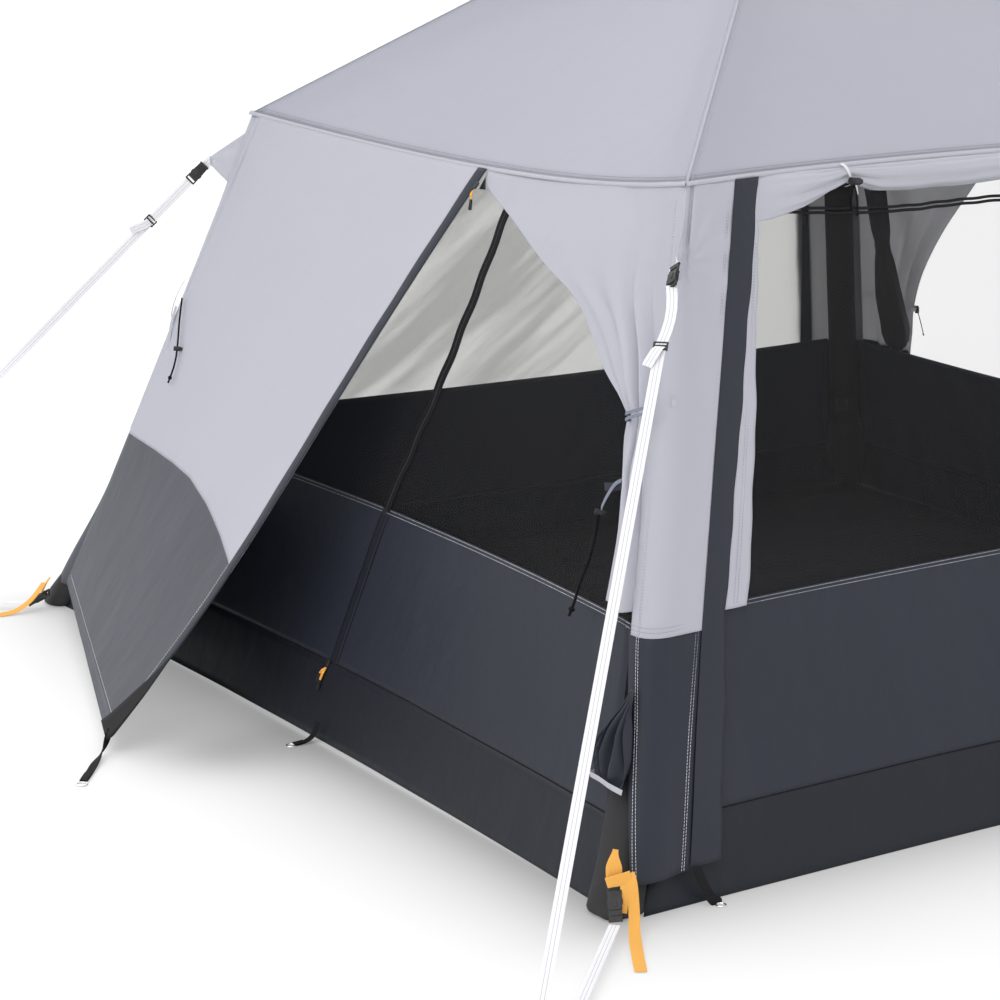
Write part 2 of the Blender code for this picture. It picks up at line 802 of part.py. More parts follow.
def add_band(name, centre, along, across, up, radius):
    """A tie closed round a roll of a radius."""
    inner = radius + BAND_CLEARANCE
    ends = [centre - along * (BAND_WIDTH / 2), centre + along * (BAND_WIDTH / 2)]
    outer = [circle(end, across, up, inner + BAND_THICK, 20) for end in ends]
    bore = [circle(end, across, up, inner, 20) for end in ends]
    add_object(name, ring_solid(outer, bore), TAPE)


def make_right_screen_roll():
    """The right door's screen, gathered into a hanging bundle beside the rear leg."""
    rings = []
    steps = 14
    across, up = Vector((1, 0, 0)), Vector((0, 1, 0))
    for i in range(steps + 1):
        t = i / steps
        radius = BUNDLE_R + BUNDLE_SPREAD * t
        if i in (0, steps):
            radius = BUNDLE_R * 0.65
        rings.append(circle(bundle_place(t), across, up, radius, 10))
    add_object("right_screen_roll", ring_solid(rings), MESH, smooth_angle=50)
    middle = bundle_place(0.5)
    along = (bundle_place(0.6) - bundle_place(0.4)).normalized()
    add_band("right_screen_roll_tie", middle, along, across, up, BUNDLE_R + BUNDLE_SPREAD / 2 + 0.001)


def bundle_place(t):
    """The middle of the hanging bundle, t from 0 at its top to 1 at its bottom."""
    z = lerp(BUNDLE_TOP_Z, BUNDLE_LOW_Z, t)
    return turned(wall_at(lerp(0.97, 1.07, t), z, BUNDLE_DEPTH), RIGHT)


def door_tie(name, face, mirror, z, near, far, depth):
    """A tape sewn beside the corner that goes over a gathered door half."""
    half = corner_half(z)
    front = DOOR_STAND_OFF + depth + TIE_CLEARANCE
    route = []
    for reach, out in (
        (near - 0.022, TIE_THICK / 2 + SEAM_GAP),
        (near - 0.012, front * 0.6),
        (near, front),
        (far, front),
        (far + 0.012, front * 0.5),
    ):
        point = wall_at(half - reach, z, -out)
        if mirror:
            point.x = -point.x
        route.append(turned(point, face))
    up = turned(wall_point(0.0, z + 0.1, 0.0) - wall_point(0.0, z, 0.0), face).normalized()
    add_object(name, ribbon(route, up, TIE_WIDTH, TIE_THICK), TAPE)


def make_door_ties():
    """The tapes that hold the doors' gathered halves."""
    door_tie("left_door_tie", LEFT, False, 1.10, 0.085, 0.235, FOLD_DEPTH)
    door_tie("left_door_lower_tie", LEFT, False, 0.27, 0.090, 0.170, 0.030)
    door_tie("front_right_door_tie", RIGHT, True, 1.10, 0.085, 0.235, FOLD_DEPTH)
    door_tie("rear_right_door_tie", RIGHT, False, 0.85, 0.080, 0.480, FOLD_DEPTH)


# Storm straps


def strap_places(corner):
    """Places of a corner's strap: top seat, ground ring bar and foot seat."""
    turn = CORNER_TURNS[corner]
    bar_z = RING_BAR_R + RING_CLEARANCE + STRAP_THICK + SEAM_GAP
    if corner in STRAP_GROUNDS:
        ground = Vector((*STRAP_GROUNDS[corner], bar_z))
    else:
        ground = turned((*STRAP_GROUNDS["front_left"], bar_z), turn)
    top_z = EAVE_Z - EAVE_SEAT_DROP
    top = corner_half(top_z) + EAVE_SEAT_OUT
    foot = corner_half(FOOT_SEAT_Z) + FOOT_SEAT_OUT
    return turned((-top, -top, top_z), turn), ground, turned((-foot, -foot, FOOT_SEAT_Z), turn)


def make_straps():
    """Webbing from each left eave to a ring on the ground and back to the foot, with hardware."""
    wrap = RING_BAR_R + RING_CLEARANCE + STRAP_THICK / 2
    half_buckle = BUCKLE_LENGTH / 2 + TAB_GAP
    for corner in STRAP_GROUNDS:
        top, ground, foot = strap_places(corner)
        away = ((ground - top).normalized() + (ground - foot).normalized()) / 2
        outward = Vector((away.x, away.y, 0.0)).normalized()
        side = Vector((-outward.y, outward.x, 0.0))
        down = (ground - top).normalized()
        back = (foot - ground).normalized()
        start, end = top + down * 2 * half_buckle, foot - back * 2 * half_buckle
        route = strap_route(start, ground, end, outward, wrap)
        add_object(f"{corner}_storm_strap", ribbon(route, side, STRAP_WIDTH, STRAP_THICK), WEBBING)
        upper = frame_matrix(top + down * half_buckle, down, side)
        add_object(f"{corner}_eave_buckle", buckle(upper), PLASTIC)
        lower = frame_matrix(foot - back * half_buckle, -back, side)
        add_object(f"{corner}_foot_buckle", buckle(lower), PLASTIC)
        along = (route[1] - route[0]).normalized()
        place = route[0] + along * SLIDER_PLACE
        slider = strap_slider(frame_matrix(place, along, side))
        add_object(f"{corner}_strap_slider", slider, PLASTIC, place=place)
        add_object(f"{corner}_peg_ring", peg_ring(ground, outward, side), METAL)


def strap_route(start, ground, end, outward, wrap):
    """Points of a strap from its start, half round the ring's bar and on to its end."""
    steps = 8
    first = tangent_angle(start, ground, outward, wrap, 1)
    last = tangent_angle(end, ground, outward, wrap, -1)
    if last > first:
        last -= 2 * math.pi
    route = [start]
    for i in range(steps + 1):
        turn = lerp(first, last, i / steps)
        route.append(ground + (outward * math.cos(turn) + Vector((0, 0, 1)) * math.sin(turn)) * wrap)
    route.append(end)
    return route


def tangent_angle(point, centre, outward, radius, sign):
    """Angle on a circle round the ring's bar where a straight run from a point touches it."""
    flat = (point - centre).dot(outward)
    rise = point.z - centre.z
    distance = math.hypot(flat, rise)
    bearing = math.atan2(rise, flat)
    return bearing - sign * math.acos(radius / distance)


def ribbon(route, side, width, thickness):
    """A flat strap along a route, its width as near to side as the route lets it lie."""
    rings = []
    for i, point in enumerate(route):
        before = (point - route[i - 1]).normalized() if i > 0 else None
        after = (route[i + 1] - point).normalized() if i < len(route) - 1 else None
        along = before if after is None else after if before is None else (before + after).normalized()
        across = (side - along * side.dot(along)).normalized()
        thick = across.cross(along) * (thickness / 2)
        half = across * (width / 2)
        rings.append([point - half - thick, point + half - thick, point + half + thick, point - half + thick])
    return ring_solid(rings)


def buckle(matrix):
    """A closed side-release buckle: waisted outline with two grip notches."""
    length, width, thick = BUCKLE_LENGTH / 2, BUCKLE_WIDTH / 2, BUCKLE_THICK / 2
    right = [
        (width * 0.80, -length), (width, -length * 0.85), (width, -length * 0.45),
        (width * 0.86, -length * 0.35), (width * 0.84, length * 0.05), (width * 0.98, length * 0.15),
        (width, length * 0.55), (width * 0.90, length * 0.9), (width * 0.82, length),
    ]
    outline = right + [(-x, y) for x, y in reversed(right)]
    rings = []
    for height, inset in ((-thick, 0.0018), (-thick + 0.002, 0.0), (thick - 0.002, 0.0), (thick, 0.0018)):
        shrink_x, shrink_y = 1 - inset / width, 1 - inset / length
        rings.append([matrix @ Vector((x * shrink_x, y * shrink_y, height)) for x, y in outline])
    return ring_solid(rings)


def strap_slider(matrix):
    """A slider that rides on a strap: a frame with a slot along it."""
    length, width, thick = SLIDER_LENGTH / 2, SLIDER_WIDTH / 2, SLIDER_THICK / 2
    slot_x = STRAP_WIDTH / 2 + SLIDER_SLOT_CLEARANCE
    slot_z = STRAP_THICK / 2 + SLIDER_SLOT_CLEARANCE

    def ring(y, x, z, chamfer):
        corners = ((x, z - chamfer), (x - chamfer, z), (-x + chamfer, z), (-x, z - chamfer),
                   (-x, -z + chamfer), (-x + chamfer, -z), (x - chamfer, -z), (x, -z + chamfer))
        return [matrix @ Vector((cx, y, cz)) for cx, cz in corners]

    outer = [
        ring(-length, width, thick * 0.8, 0.0012), ring(-length * 0.5, width, thick, 0.0016),
        ring(0.0, width * 0.94, thick * 0.8, 0.0012), ring(length * 0.5, width, thick, 0.0016),
        ring(length, width, thick * 0.8, 0.0012),
    ]
    bore = [ring(-length, slot_x, slot_z, 0.0003), ring(length, slot_x, slot_z, 0.0003)]
    return ring_solid(outer, bore)


def peg_ring(ground, outward, side):
    """A D-shaped ring lying on the ground: a straight bar for the strap and a bow for a peg."""
    half = STRAP_WIDTH / 2 + 0.004
    route = []
    steps = 10
    route.append(ground - side * half)
    route.append(ground + side * half)
    for i in range(1, steps):
        turn = math.pi * i / steps
        offset = side * (half * math.cos(turn)) + outward * (RING_REACH * math.sin(turn))
        drop = Vector((0, 0, (RING_BAR_R - ground.z) * math.sin(turn)))
        route.append(ground + offset + drop)
    bm = bmesh.new()
    loops = []
    count = len(route)
    for i, point in enumerate(route):
        along = (route[(i + 1) % count] - route[i - 1]).normalized()
        across = Vector((0, 0, 1)).cross(along).normalized()
        ring = circle(point, across, along.cross(across).normalized(), RING_BAR_R, 8)
        loops.append([bm.verts.new(p) for p in ring])
    for i in range(count):
        first, second = loops[i], loops[(i + 1) % count]
        for k in range(8):
            j = (k + 1) % 8
            bm.faces.new((first[k], first[j], second[j], second[k]))
    return bm


# Zips and small rings


def zip_line():
    """Foot and direction of the left screen's zip, on the screen's outer face."""
    low = turned(wall_point(0.0, 0.0, SCREEN_DEPTH), LEFT)
    high = turned(wall_point(0.0, 1.5, SCREEN_DEPTH), LEFT)
    return low, (high - low).normalized()


def make_zips():
    """The screen zip's runner with its pull, and the flap zip's runner with its pull."""
    low, along = zip_line()
    side = Vector((0.0, 1.0, 0.0))
    outward = along.cross(side).normalized()
    if outward.x > 0:
        outward = -outward
    seat = outward * (ZIP_TAPE_THICK / 2 + ZIP_TAPE_GAP)
    tape = [low + along * (z / along.z) + seat for z in (0.012, ZIP_TOP_Z)]
    add_object("screen_zip_tape", ribbon(tape, side, ZIP_TAPE_WIDTH, ZIP_TAPE_THICK), DARK)
    lift = ZIP_TAPE_THICK + ZIP_TAPE_GAP + ZIP_GAP + ZIP_RUNNER_THICK / 2
    place = low + along * (ZIP_START_Z / along.z) + outward * lift
    matrix = frame_matrix(place, along, side)
    runner = box((ZIP_RUNNER_WIDTH, ZIP_RUNNER_LENGTH, ZIP_RUNNER_THICK), matrix, 0.0012)
    add_object("screen_zip_runner", runner, PLASTIC, place=place)
    hinge = place - along * (ZIP_RUNNER_LENGTH / 2 + ZIP_PULL_R + ZIP_GAP)
    add_object("screen_zip_pull", zip_pull(hinge, -along, side), CORD, place=hinge)
    top = turned(edge_top(0.0, DOOR_STAND_OFF), LEFT)
    tip = Vector(FLAP_TIP)
    slope = (tip - top).normalized()
    start = top + slope * 0.055 + Vector((-0.012, -0.012, 0.0))
    matrix = frame_matrix(start, slope, side)
    runner = box((ZIP_RUNNER_WIDTH, ZIP_RUNNER_LENGTH, ZIP_RUNNER_THICK), matrix, 0.0012)
    add_object("door_zip_runner", runner, PLASTIC, place=start)
    hang = start + Vector((-ZIP_RUNNER_THICK - ZIP_PULL_R, 0.0, -ZIP_RUNNER_LENGTH / 2 - ZIP_PULL_R))
    add_object("door_zip_pull", zip_pull(hang, Vector((0, 0, -1)), side), CORD, place=hang)


def zip_pull(hinge, along, side):
    """A cord pull that widens to a moulded grip at its end."""
    across = along.cross(side).normalized()
    rings = []
    for share, radius in ((0.0, 0.5), (0.03, 0.6), (0.48, 0.6), (0.5, 0.95), (0.95, 1.0), (1.0, 0.7)):
        rings.append(circle(hinge + along * (ZIP_PULL_LENGTH * share), side, across, ZIP_PULL_R * radius, 8))
    return ring_solid(rings)


def ground_ring(name, centre, inner_radius):
    """A metal eyelet ring lying on the ground."""
    bm = bmesh.new()
    loops = []
    sides = 16
    for i in range(sides):
        turn = 2 * math.pi * i / sides
        out = Vector((math.cos(turn), math.sin(turn), 0.0))
        middle = Vector(centre) + out * (inner_radius + RING_BAR_R) + Vector((0, 0, RING_BAR_R))
        loops.append([bm.verts.new(p) for p in circle(middle, out, Vector((0, 0, 1)), RING_BAR_R, 8)])
    for i in range(sides):
        first, second = loops[i], loops[(i + 1) % sides]
        for k in range(8):
            j = (k + 1) % 8
            bm.faces.new((first[k], first[j], second[j], second[k]))
    add_object(name, bm, METAL, place=centre)


def ring_webbing(owner, root, centre, inner_radius, rise):
    """Webbing joined to a fabric piece, from a point inside it to the edge of a ground ring."""
    centre = Vector(centre)
    flat = Vector((root.x - centre.x, root.y - centre.y, 0.0)).normalized()
    end = centre + flat * (inner_radius + 2 * RING_BAR_R + TAB_GAP)
    end.z = RING_BAR_R
    knee = end + flat * RING_WEBBING_FLAT
    knee.z += rise
    side = Vector((-flat.y, flat.x, 0.0))
    body = ribbon([root, knee, end], side, RING_WEBBING_WIDTH, TAB_THICK)
    join(bpy.data.objects[owner], add_object(f"{owner}_webbing", body, DARK))


def make_ground_rings():
    """The pulled-out flap's eyelet and the stake ring at the foot of the left door."""
    ground_ring("flap_peg_ring", FLAP_RING, FLAP_RING_BORE)
    tip = Vector(FLAP_TIP)
    inside = tip + (flap_leg(FLAP_HEM_Z) - tip).normalized() * 0.010 + Vector((0.004, 0.0, 0.006))
    ring_webbing("left_door_flap", inside, FLAP_RING, FLAP_RING_BORE, 0.004)
    ground_ring("door_stake_ring", DOOR_RING, DOOR_RING_BORE)
    foot = turned(wall_point(0.0, 0.006, SCREEN_DEPTH + FABRIC / 2), LEFT)
    foot.y = DOOR_RING[1]
    ring_webbing("left_lower_wall", foot, DOOR_RING, DOOR_RING_BORE, 0.0)
    ground_ring("front_stake_ring", FRONT_RING, DOOR_RING_BORE)
    foot = wall_at(FRONT_RING[0], 0.006, SCREEN_DEPTH + FABRIC / 2)
    ring_webbing("front_lower_wall", foot, FRONT_RING, DOOR_RING_BORE, 0.0)


def main():
    clear_scene()
    make_air_frame()
    make_sleeves()
    make_boots()
    make_valve()
    make_roof()
    make_corner_covers()
    make_walls()
    make_rear_cover()
    make_groundsheet()
    make_left_flap()
    make_curtains()
    make_front_roll()
    make_right_screen_roll()
    make_door_ties()
    make_straps()
    make_zips()
    make_ground_rings()


main()
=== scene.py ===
"""Visual model of a square inflatable tent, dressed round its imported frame.

Units are metres in the tent's own frame: +Z up, origin at the centre of the ground square. The
faces are front (-Y), right (+X), rear (+Y) and left (-X). Every piece is built at its place.
"""

import json
import logging
import math
from collections.abc import Callable, Sequence
from dataclasses import dataclass, field
from enum import IntEnum

import bmesh
import bpy
from mathutils import Matrix, Vector, noise

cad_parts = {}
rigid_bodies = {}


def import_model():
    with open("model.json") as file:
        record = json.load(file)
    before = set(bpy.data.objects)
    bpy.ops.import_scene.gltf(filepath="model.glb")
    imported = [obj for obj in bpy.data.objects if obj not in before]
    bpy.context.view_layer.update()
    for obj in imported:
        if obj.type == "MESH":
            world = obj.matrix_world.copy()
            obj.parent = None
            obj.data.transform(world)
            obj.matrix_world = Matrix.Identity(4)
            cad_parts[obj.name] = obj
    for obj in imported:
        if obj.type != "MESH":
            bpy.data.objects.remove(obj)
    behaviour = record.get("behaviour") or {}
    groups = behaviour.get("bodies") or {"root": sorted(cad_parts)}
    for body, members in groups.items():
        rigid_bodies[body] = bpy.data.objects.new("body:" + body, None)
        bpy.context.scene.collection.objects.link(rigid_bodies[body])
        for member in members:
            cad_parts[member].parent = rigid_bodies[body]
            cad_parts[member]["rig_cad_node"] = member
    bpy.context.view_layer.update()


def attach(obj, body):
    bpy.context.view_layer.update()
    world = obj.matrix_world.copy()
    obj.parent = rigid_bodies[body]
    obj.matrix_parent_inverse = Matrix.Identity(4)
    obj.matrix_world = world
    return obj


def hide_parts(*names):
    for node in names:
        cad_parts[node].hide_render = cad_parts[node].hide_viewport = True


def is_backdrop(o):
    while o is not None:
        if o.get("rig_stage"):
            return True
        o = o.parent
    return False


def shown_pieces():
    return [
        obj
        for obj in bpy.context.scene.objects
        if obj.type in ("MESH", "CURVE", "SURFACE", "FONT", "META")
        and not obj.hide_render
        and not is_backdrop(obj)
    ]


LOG = logging.getLogger("tent")
UP = Vector((0.0, 0.0, 1.0))

Grid = list[list[Vector]]
Colour = tuple[float, float, float]
Place = tuple[float, float, float]
Table = Sequence[tuple[float, float]]


class Face(IntEnum):
    """The tent's faces, in quarter turns from the front."""

    FRONT = 0
    RIGHT = 1
    REAR = 2
    LEFT = 3


class Corner(IntEnum):
    """The tent's corners, in quarter turns from the front left one."""

    FRONT_LEFT = 0
    FRONT_RIGHT = 1
    REAR_RIGHT = 2
    REAR_LEFT = 3


def turned(point: Sequence[float], quarters: int) -> Vector:
    """Turn a point about the tent's middle.

    Args:
        point: A point of the front face or the front left corner.
        quarters: How many quarter turns, anticlockwise from above.

    Returns:
        The turned point.
    """
    x, y, z = point
    for _ in range(quarters % 4):
        x, y = -y, x
    return Vector((x, y, z))


def smooth(share: float) -> float:
    """A share from 0 to 1, eased at both ends."""
    share = min(max(share, 0.0), 1.0)
    return share * share * (3 - 2 * share)


def mix(first: float, second: float, share: float) -> float:
    """The number a share of the way from the first to the second."""
    return first + (second - first) * share


def on_line(points: Sequence[Sequence[float]], share: float) -> Vector:
    """A point of a smooth curve through points.

    Args:
        points: Points, or pairs of numbers, at even steps of share.
        share: From 0 at the first to 1 at the last.

    Returns:
        The curve's point as a vector.
    """
    known = [Vector(p) for p in points]
    place = min(max(share, 0.0), 1.0) * (len(known) - 1)
    i = min(int(place), len(known) - 2)
    t = place - i
    before = known[max(i - 1, 0)]
    after = known[min(i + 2, len(known) - 1)]
    a, b = known[i], known[i + 1]
    return 0.5 * (
        2 * a + (b - before) * t + (2 * before - 5 * a + 4 * b - after) * t * t
        + (3 * a - before - 3 * b + after) * t * t * t
    )


def table(rows: Table, at: float) -> float:
    """Read a table of pairs at a place, straight between its rows.

    Args:
        rows: Pairs of place and value, places rising.
        at: The place to read.

    Returns:
        The value there.
    """
    if at <= rows[0][0]:
        return rows[0][1]
    for (x0, y0), (x1, y1) in zip(rows, rows[1:]):
        if at <= x1:
            return mix(y0, y1, (at - x0) / (x1 - x0))
    return rows[-1][1]


@dataclass(frozen=True)
class TentShape:
    """The surfaces that the tent's fabric follows."""

    foot_half: float = 1.745
    foot_middle: float = 1.70
    eave_half: float = 1.21
    eave_z: float = 1.72
    draw_in: float = 0.158
    sags: tuple[float, ...] = (0.0, 0.03, 0.03, 0.09)
    peak_z: float = 2.56
    rear_left_drop: float = 0.024
    round_foot: float = 0.10
    round_eave: float = 0.035
    panel_sag: float = 0.020
    splay: float = 0.042

    def eave(self, face: Face, u: float) -> Vector:
        """A point of a face's eave, u from -1 to 1 between its corners."""
        middle = 1 - u * u
        drop = self.sags[face] * middle
        if face == Face.LEFT:
            drop += self.rear_left_drop * max((1 - u) / 2, 0.0) ** 3
        if face == Face.REAR:
            drop += self.rear_left_drop * max((1 + u) / 2, 0.0) ** 3
        y = -(self.eave_half - self.draw_in * middle)
        return turned((u * self.eave_half, y, self.eave_z - drop), face)

    def wall(self, face: Face, u: float, share: float, out: float = 0.0) -> Vector:
        """A point of a wall, share from 0 on the ground to 1 at the eave, out of its surface."""
        y = -(mix(self.foot_middle, self.foot_half, u * u) + out)
        foot = turned((u * self.foot_half, y, 0.0), face)
        top = self.eave(face, u) + turned((0.0, -out, 0.0), face)
        return foot.lerp(top, share)

    def wall_at(self, face: Face, across: float, z: float, out: float = 0.0) -> Vector:
        """A point of a wall by its distance from the wall's middle and its height."""
        u = 0.0
        for _ in range(8):
            share = z / self.eave(face, u).z
            half = mix(self.foot_half, self.eave_half, share)
            u = across / half
        return self.wall(face, u, share, out)

    def half(self, z: float) -> float:
        """Half the distance between two corner edges at a height."""
        return mix(self.foot_half, self.eave_half, z / self.eave_z)

    def roof(self, face: Face, u: float, share: float) -> Vector:
        """A point of a roof panel, share from 0 at the eave to 1 at the peak."""
        peak = Vector((0.0, 0.0, self.peak_z))
        point = self.eave(face, u).lerp(peak, share)
        point.z -= self.panel_sag * (1 - u * u) * math.sin(math.pi * share)
        return point

    def around(self, corner: Corner, distance: float, share: float, out: float = 0.0) -> Vector:
        """A point round a corner's rounded edge.

        Args:
            corner: Which corner.
            distance: From the edge, along the wall; below 0 on the wall clockwise from it.
            share: From 0 on the ground to 1 at the eave.
            out: How far out of the fabric's surface.

        Returns:
            The point.
        """
        ahead, behind = Face(corner.value), Face((corner.value + 3) % 4)
        z = share * self.eave_z
        half = self.half(z)
        bend = mix(self.round_foot, self.round_eave, share)
        out += self.splay * smooth((0.27 - share) / 0.24) * math.exp(-((distance / 0.14) ** 2))

        def flat(along: float) -> Vector:
            """The unrounded surface, by distance from the corner."""
            reach = 1 - abs(along) / half
            if along >= 0:
                return self.wall(ahead, -reach, share, out)
            return self.wall(behind, reach, share, out)

        if abs(distance) >= bend:
            return flat(distance)
        t = (distance + bend) / (2 * bend)
        edge = turned((-half - out, -half - out, 0.0), corner)
        edge.z = self.wall(ahead, -1.0, share).z
        return flat(-bend) * (1 - t) ** 2 + edge * 2 * t * (1 - t) + flat(bend) * t * t


SHAPE = TentShape()
DIAGONAL = 0.7071
DOOR_SIDES = (
    (Corner.FRONT_LEFT, 1),
    (Corner.FRONT_RIGHT, -1),
    (Corner.REAR_RIGHT, 1),
    (Corner.REAR_LEFT, -1),
)
WALL_TOPS = {Face.FRONT: 0.685, Face.LEFT: 0.655, Face.RIGHT: 0.655, Face.REAR: 0.655}
PLAIN_REACH = ((0.0, 0.12), (1.0, 0.12))
ZIPPED_REACH = ((0.0, 0.186), (0.4, 0.177), (1.0, 0.19))
TIED_REACH = ((0.05, -0.008), (0.159, 0.025), (0.285, 0.071), (0.3625, 0.098), (0.40, 0.112))
SIDE_DOORS = (
    ("front_right_door", True, (
        (1.69, 0.06, 1.18, 0.002), (1.56, 0.06, 1.02, 0.008), (1.40, 0.06, 0.72, 0.018),
        (1.24, 0.06, 0.42, 0.026), (1.11, 0.06, 0.21, 0.020), (0.95, 0.06, 0.22, 0.026),
        (0.80, 0.06, 0.24, 0.030), (0.65, 0.06, 0.25, 0.030), (0.45, 0.06, 0.21, 0.030),
        (0.28, 0.06, 0.17, 0.020), (0.20, 0.06, 0.20, 0.028))),
    ("rear_right_door", False, (
        (1.69, 0.06, 1.18, 0.002), (1.52, 0.06, 1.02, 0.006), (1.36, 0.06, 0.86, 0.012),
        (1.18, 0.06, 0.68, 0.020), (1.00, 0.06, 0.54, 0.026), (0.85, 0.06, 0.47, 0.026),
        (0.74, 0.06, 0.45, 0.028), (0.65, 0.06, 0.43, 0.026), (0.45, 0.06, 0.40, 0.024),
        (0.30, 0.06, 0.38, 0.022), (0.12, 0.06, 0.38, 0.020))),
)
FRONT_LEFT_SLIDER = (-1.46859, -1.47062, 1.36337)
REAR_LEFT_SLIDER = (-1.48302, 1.42700, 1.33706)
SCREEN_PULL_HINGE = (-1.61972, 0.0, 0.18854)
DOOR_PULL_HINGE = (-1.11317, -0.00751, 1.56601)
BUCKLES = (
    ("front_left_eave_buckle",
     (-1.3425, -1.3433, 1.5095), (-0.5438, -0.5503, -0.6336), (-0.98, 0.10, 0.55), 0.072),
    ("rear_left_eave_buckle",
     (-1.3530, 1.3370, 1.4955), (-0.5810, 0.4032, -0.7070), (-0.57, -0.82, 0.0), 0.072),
    ("front_left_foot_buckle",
     (-1.793, -1.771, 0.072), (0.044, 0.075, 0.0855), (-0.55, -0.60, 0.5), 0.092),
    ("rear_left_foot_buckle",
     (-1.824, 1.670, 0.044), (0.60, -0.50, 0.45), (-0.40, -0.20, 0.9), 0.080),
)
STAKE_LOOPS = (
    ("left_stake_loop",
     ((-1.700, -0.090, 0.060), (-1.716, -0.090, 0.022), (-1.745, -0.090, 0.006), (-1.7775, -0.090, 0.003)),
     (0.0, 1.0, 0.0)),
    ("front_stake_loop",
     ((-1.530, -1.744, 0.100), (-1.515, -1.752, 0.060), (-1.494, -1.756, 0.020), (-1.474, -1.7575, 0.004)),
     (0.99, -0.05, 0.10)),
)

FRONT_LEFT_ROUTE = (
    (-1.3598, -1.3606, 1.4901), (-2.63091, -2.64694, 0.00903), (-2.63154, -2.64758, 0.00803),
    (-2.63191, -2.64796, 0.0068), (-2.63201, -2.64806, 0.00547), (-2.63181, -2.64786, 0.00416),
    (-2.63134, -2.64738, 0.003), (-2.63065, -2.64667, 0.0021), (-2.62979, -2.6458, 0.00155),
    (-2.62885, -2.64485, 0.00141), (-1.818, -1.806, 0.034),
)
REAR_LEFT_ROUTE = (
    (-1.3715, 1.3496, 1.4728), (-2.57467, 2.18447, 0.00873), (-2.57534, 2.18484, 0.00769),
    (-2.57571, 2.18505, 0.00646), (-2.57573, 2.18506, 0.00516), (-2.57542, 2.18489, 0.00392),
    (-2.5748, 2.18455, 0.00283), (-2.57393, 2.18406, 0.00201), (-2.57288, 2.18348, 0.00152),
    (-2.57174, 2.18286, 0.00141), (-1.850, 1.692, 0.028),
)


class Tree:
    """A material's node tree, written in short calls."""

    def __init__(self, name: str) -> None:
        self.material = bpy.data.materials.new(name)
        self.material.use_nodes = True
        self.nodes = self.material.node_tree.nodes
        self.links = self.material.node_tree.links
        self.shader = self.nodes["Principled BSDF"]
        self.output = self.nodes["Material Output"]

    def add(self, kind: str, sockets: dict | None = None, **values: object) -> bpy.types.Node:
        """Add a node.

        Args:
            kind: The node's type, without the shader prefix.
            sockets: Input values by name.
            values: The node's own settings.

        Returns:
            The node.
        """
        node = self.nodes.new(f"ShaderNode{kind}")
        for key, value in values.items():
            setattr(node, key, value)
        for key, value in (sockets or {}).items():
            node.inputs[key].default_value = value
        return node

    def link(self, source: bpy.types.NodeSocket, target: bpy.types.NodeSocket) -> None:
        """Join two sockets."""
        self.links.new(source, target)

    def math(self, operation: str, first: object, second: object) -> bpy.types.NodeSocket:
        """A math node between sockets or numbers, and its result."""
        node = self.add("Math", operation=operation)
        for i, value in enumerate((first, second)):
            if isinstance(value, (int, float)):
                node.inputs[i].default_value = value
            else:
                self.link(value, node.inputs[i])
        return node.outputs[0]

    def blend(self, factor: object, first: object, second: object) -> bpy.types.NodeSocket:
        """A colour mixed between two colours or sockets."""
        node = self.add("Mix", data_type="RGBA")
        for socket, value in ((node.inputs[0], factor), (node.inputs[6], first), (node.inputs[7], second)):
            if isinstance(value, bpy.types.NodeSocket):
                self.link(value, socket)
            elif isinstance(value, (int, float)):
                socket.default_value = value
            else:
                socket.default_value = (*value, 1.0)
        return node.outputs[2]

    def noise(self, scale: float, detail: float = 3.0, stretch: Place = (1, 1, 1)) -> bpy.types.NodeSocket:
        """Noise on object coordinates, stretched along the axes."""
        place = self.add("TexCoord")
        turn = self.add("Mapping", {"Scale": stretch})
        made = self.add("TexNoise", {"Scale": scale, "Detail": detail})
        self.link(place.outputs["Object"], turn.inputs["Vector"])
        self.link(turn.outputs["Vector"], made.inputs["Vector"])
        return made.outputs["Fac"]

    def bump(self, layers: Sequence[tuple[bpy.types.NodeSocket, float]]) -> None:
        """Bump layers as pairs of height socket and distance in metres."""
        last = None
        for height, distance in layers:
            node = self.add("Bump", {"Strength": 1.0, "Distance": distance})
            self.link(height, node.inputs["Height"])
            if last is not None:
                self.link(last.outputs["Normal"], node.inputs["Normal"])
            last = node
        self.link(last.outputs["Normal"], self.shader.inputs["Normal"])

    def surface(self, roughness: float, metallic: float = 0.0, specular: float = 0.5) -> None:
        """Set the shader's constant values."""
        self.shader.inputs["Roughness"].default_value = roughness
        self.shader.inputs["Metallic"].default_value = metallic
        self.shader.inputs["Specular IOR Level"].default_value = specular


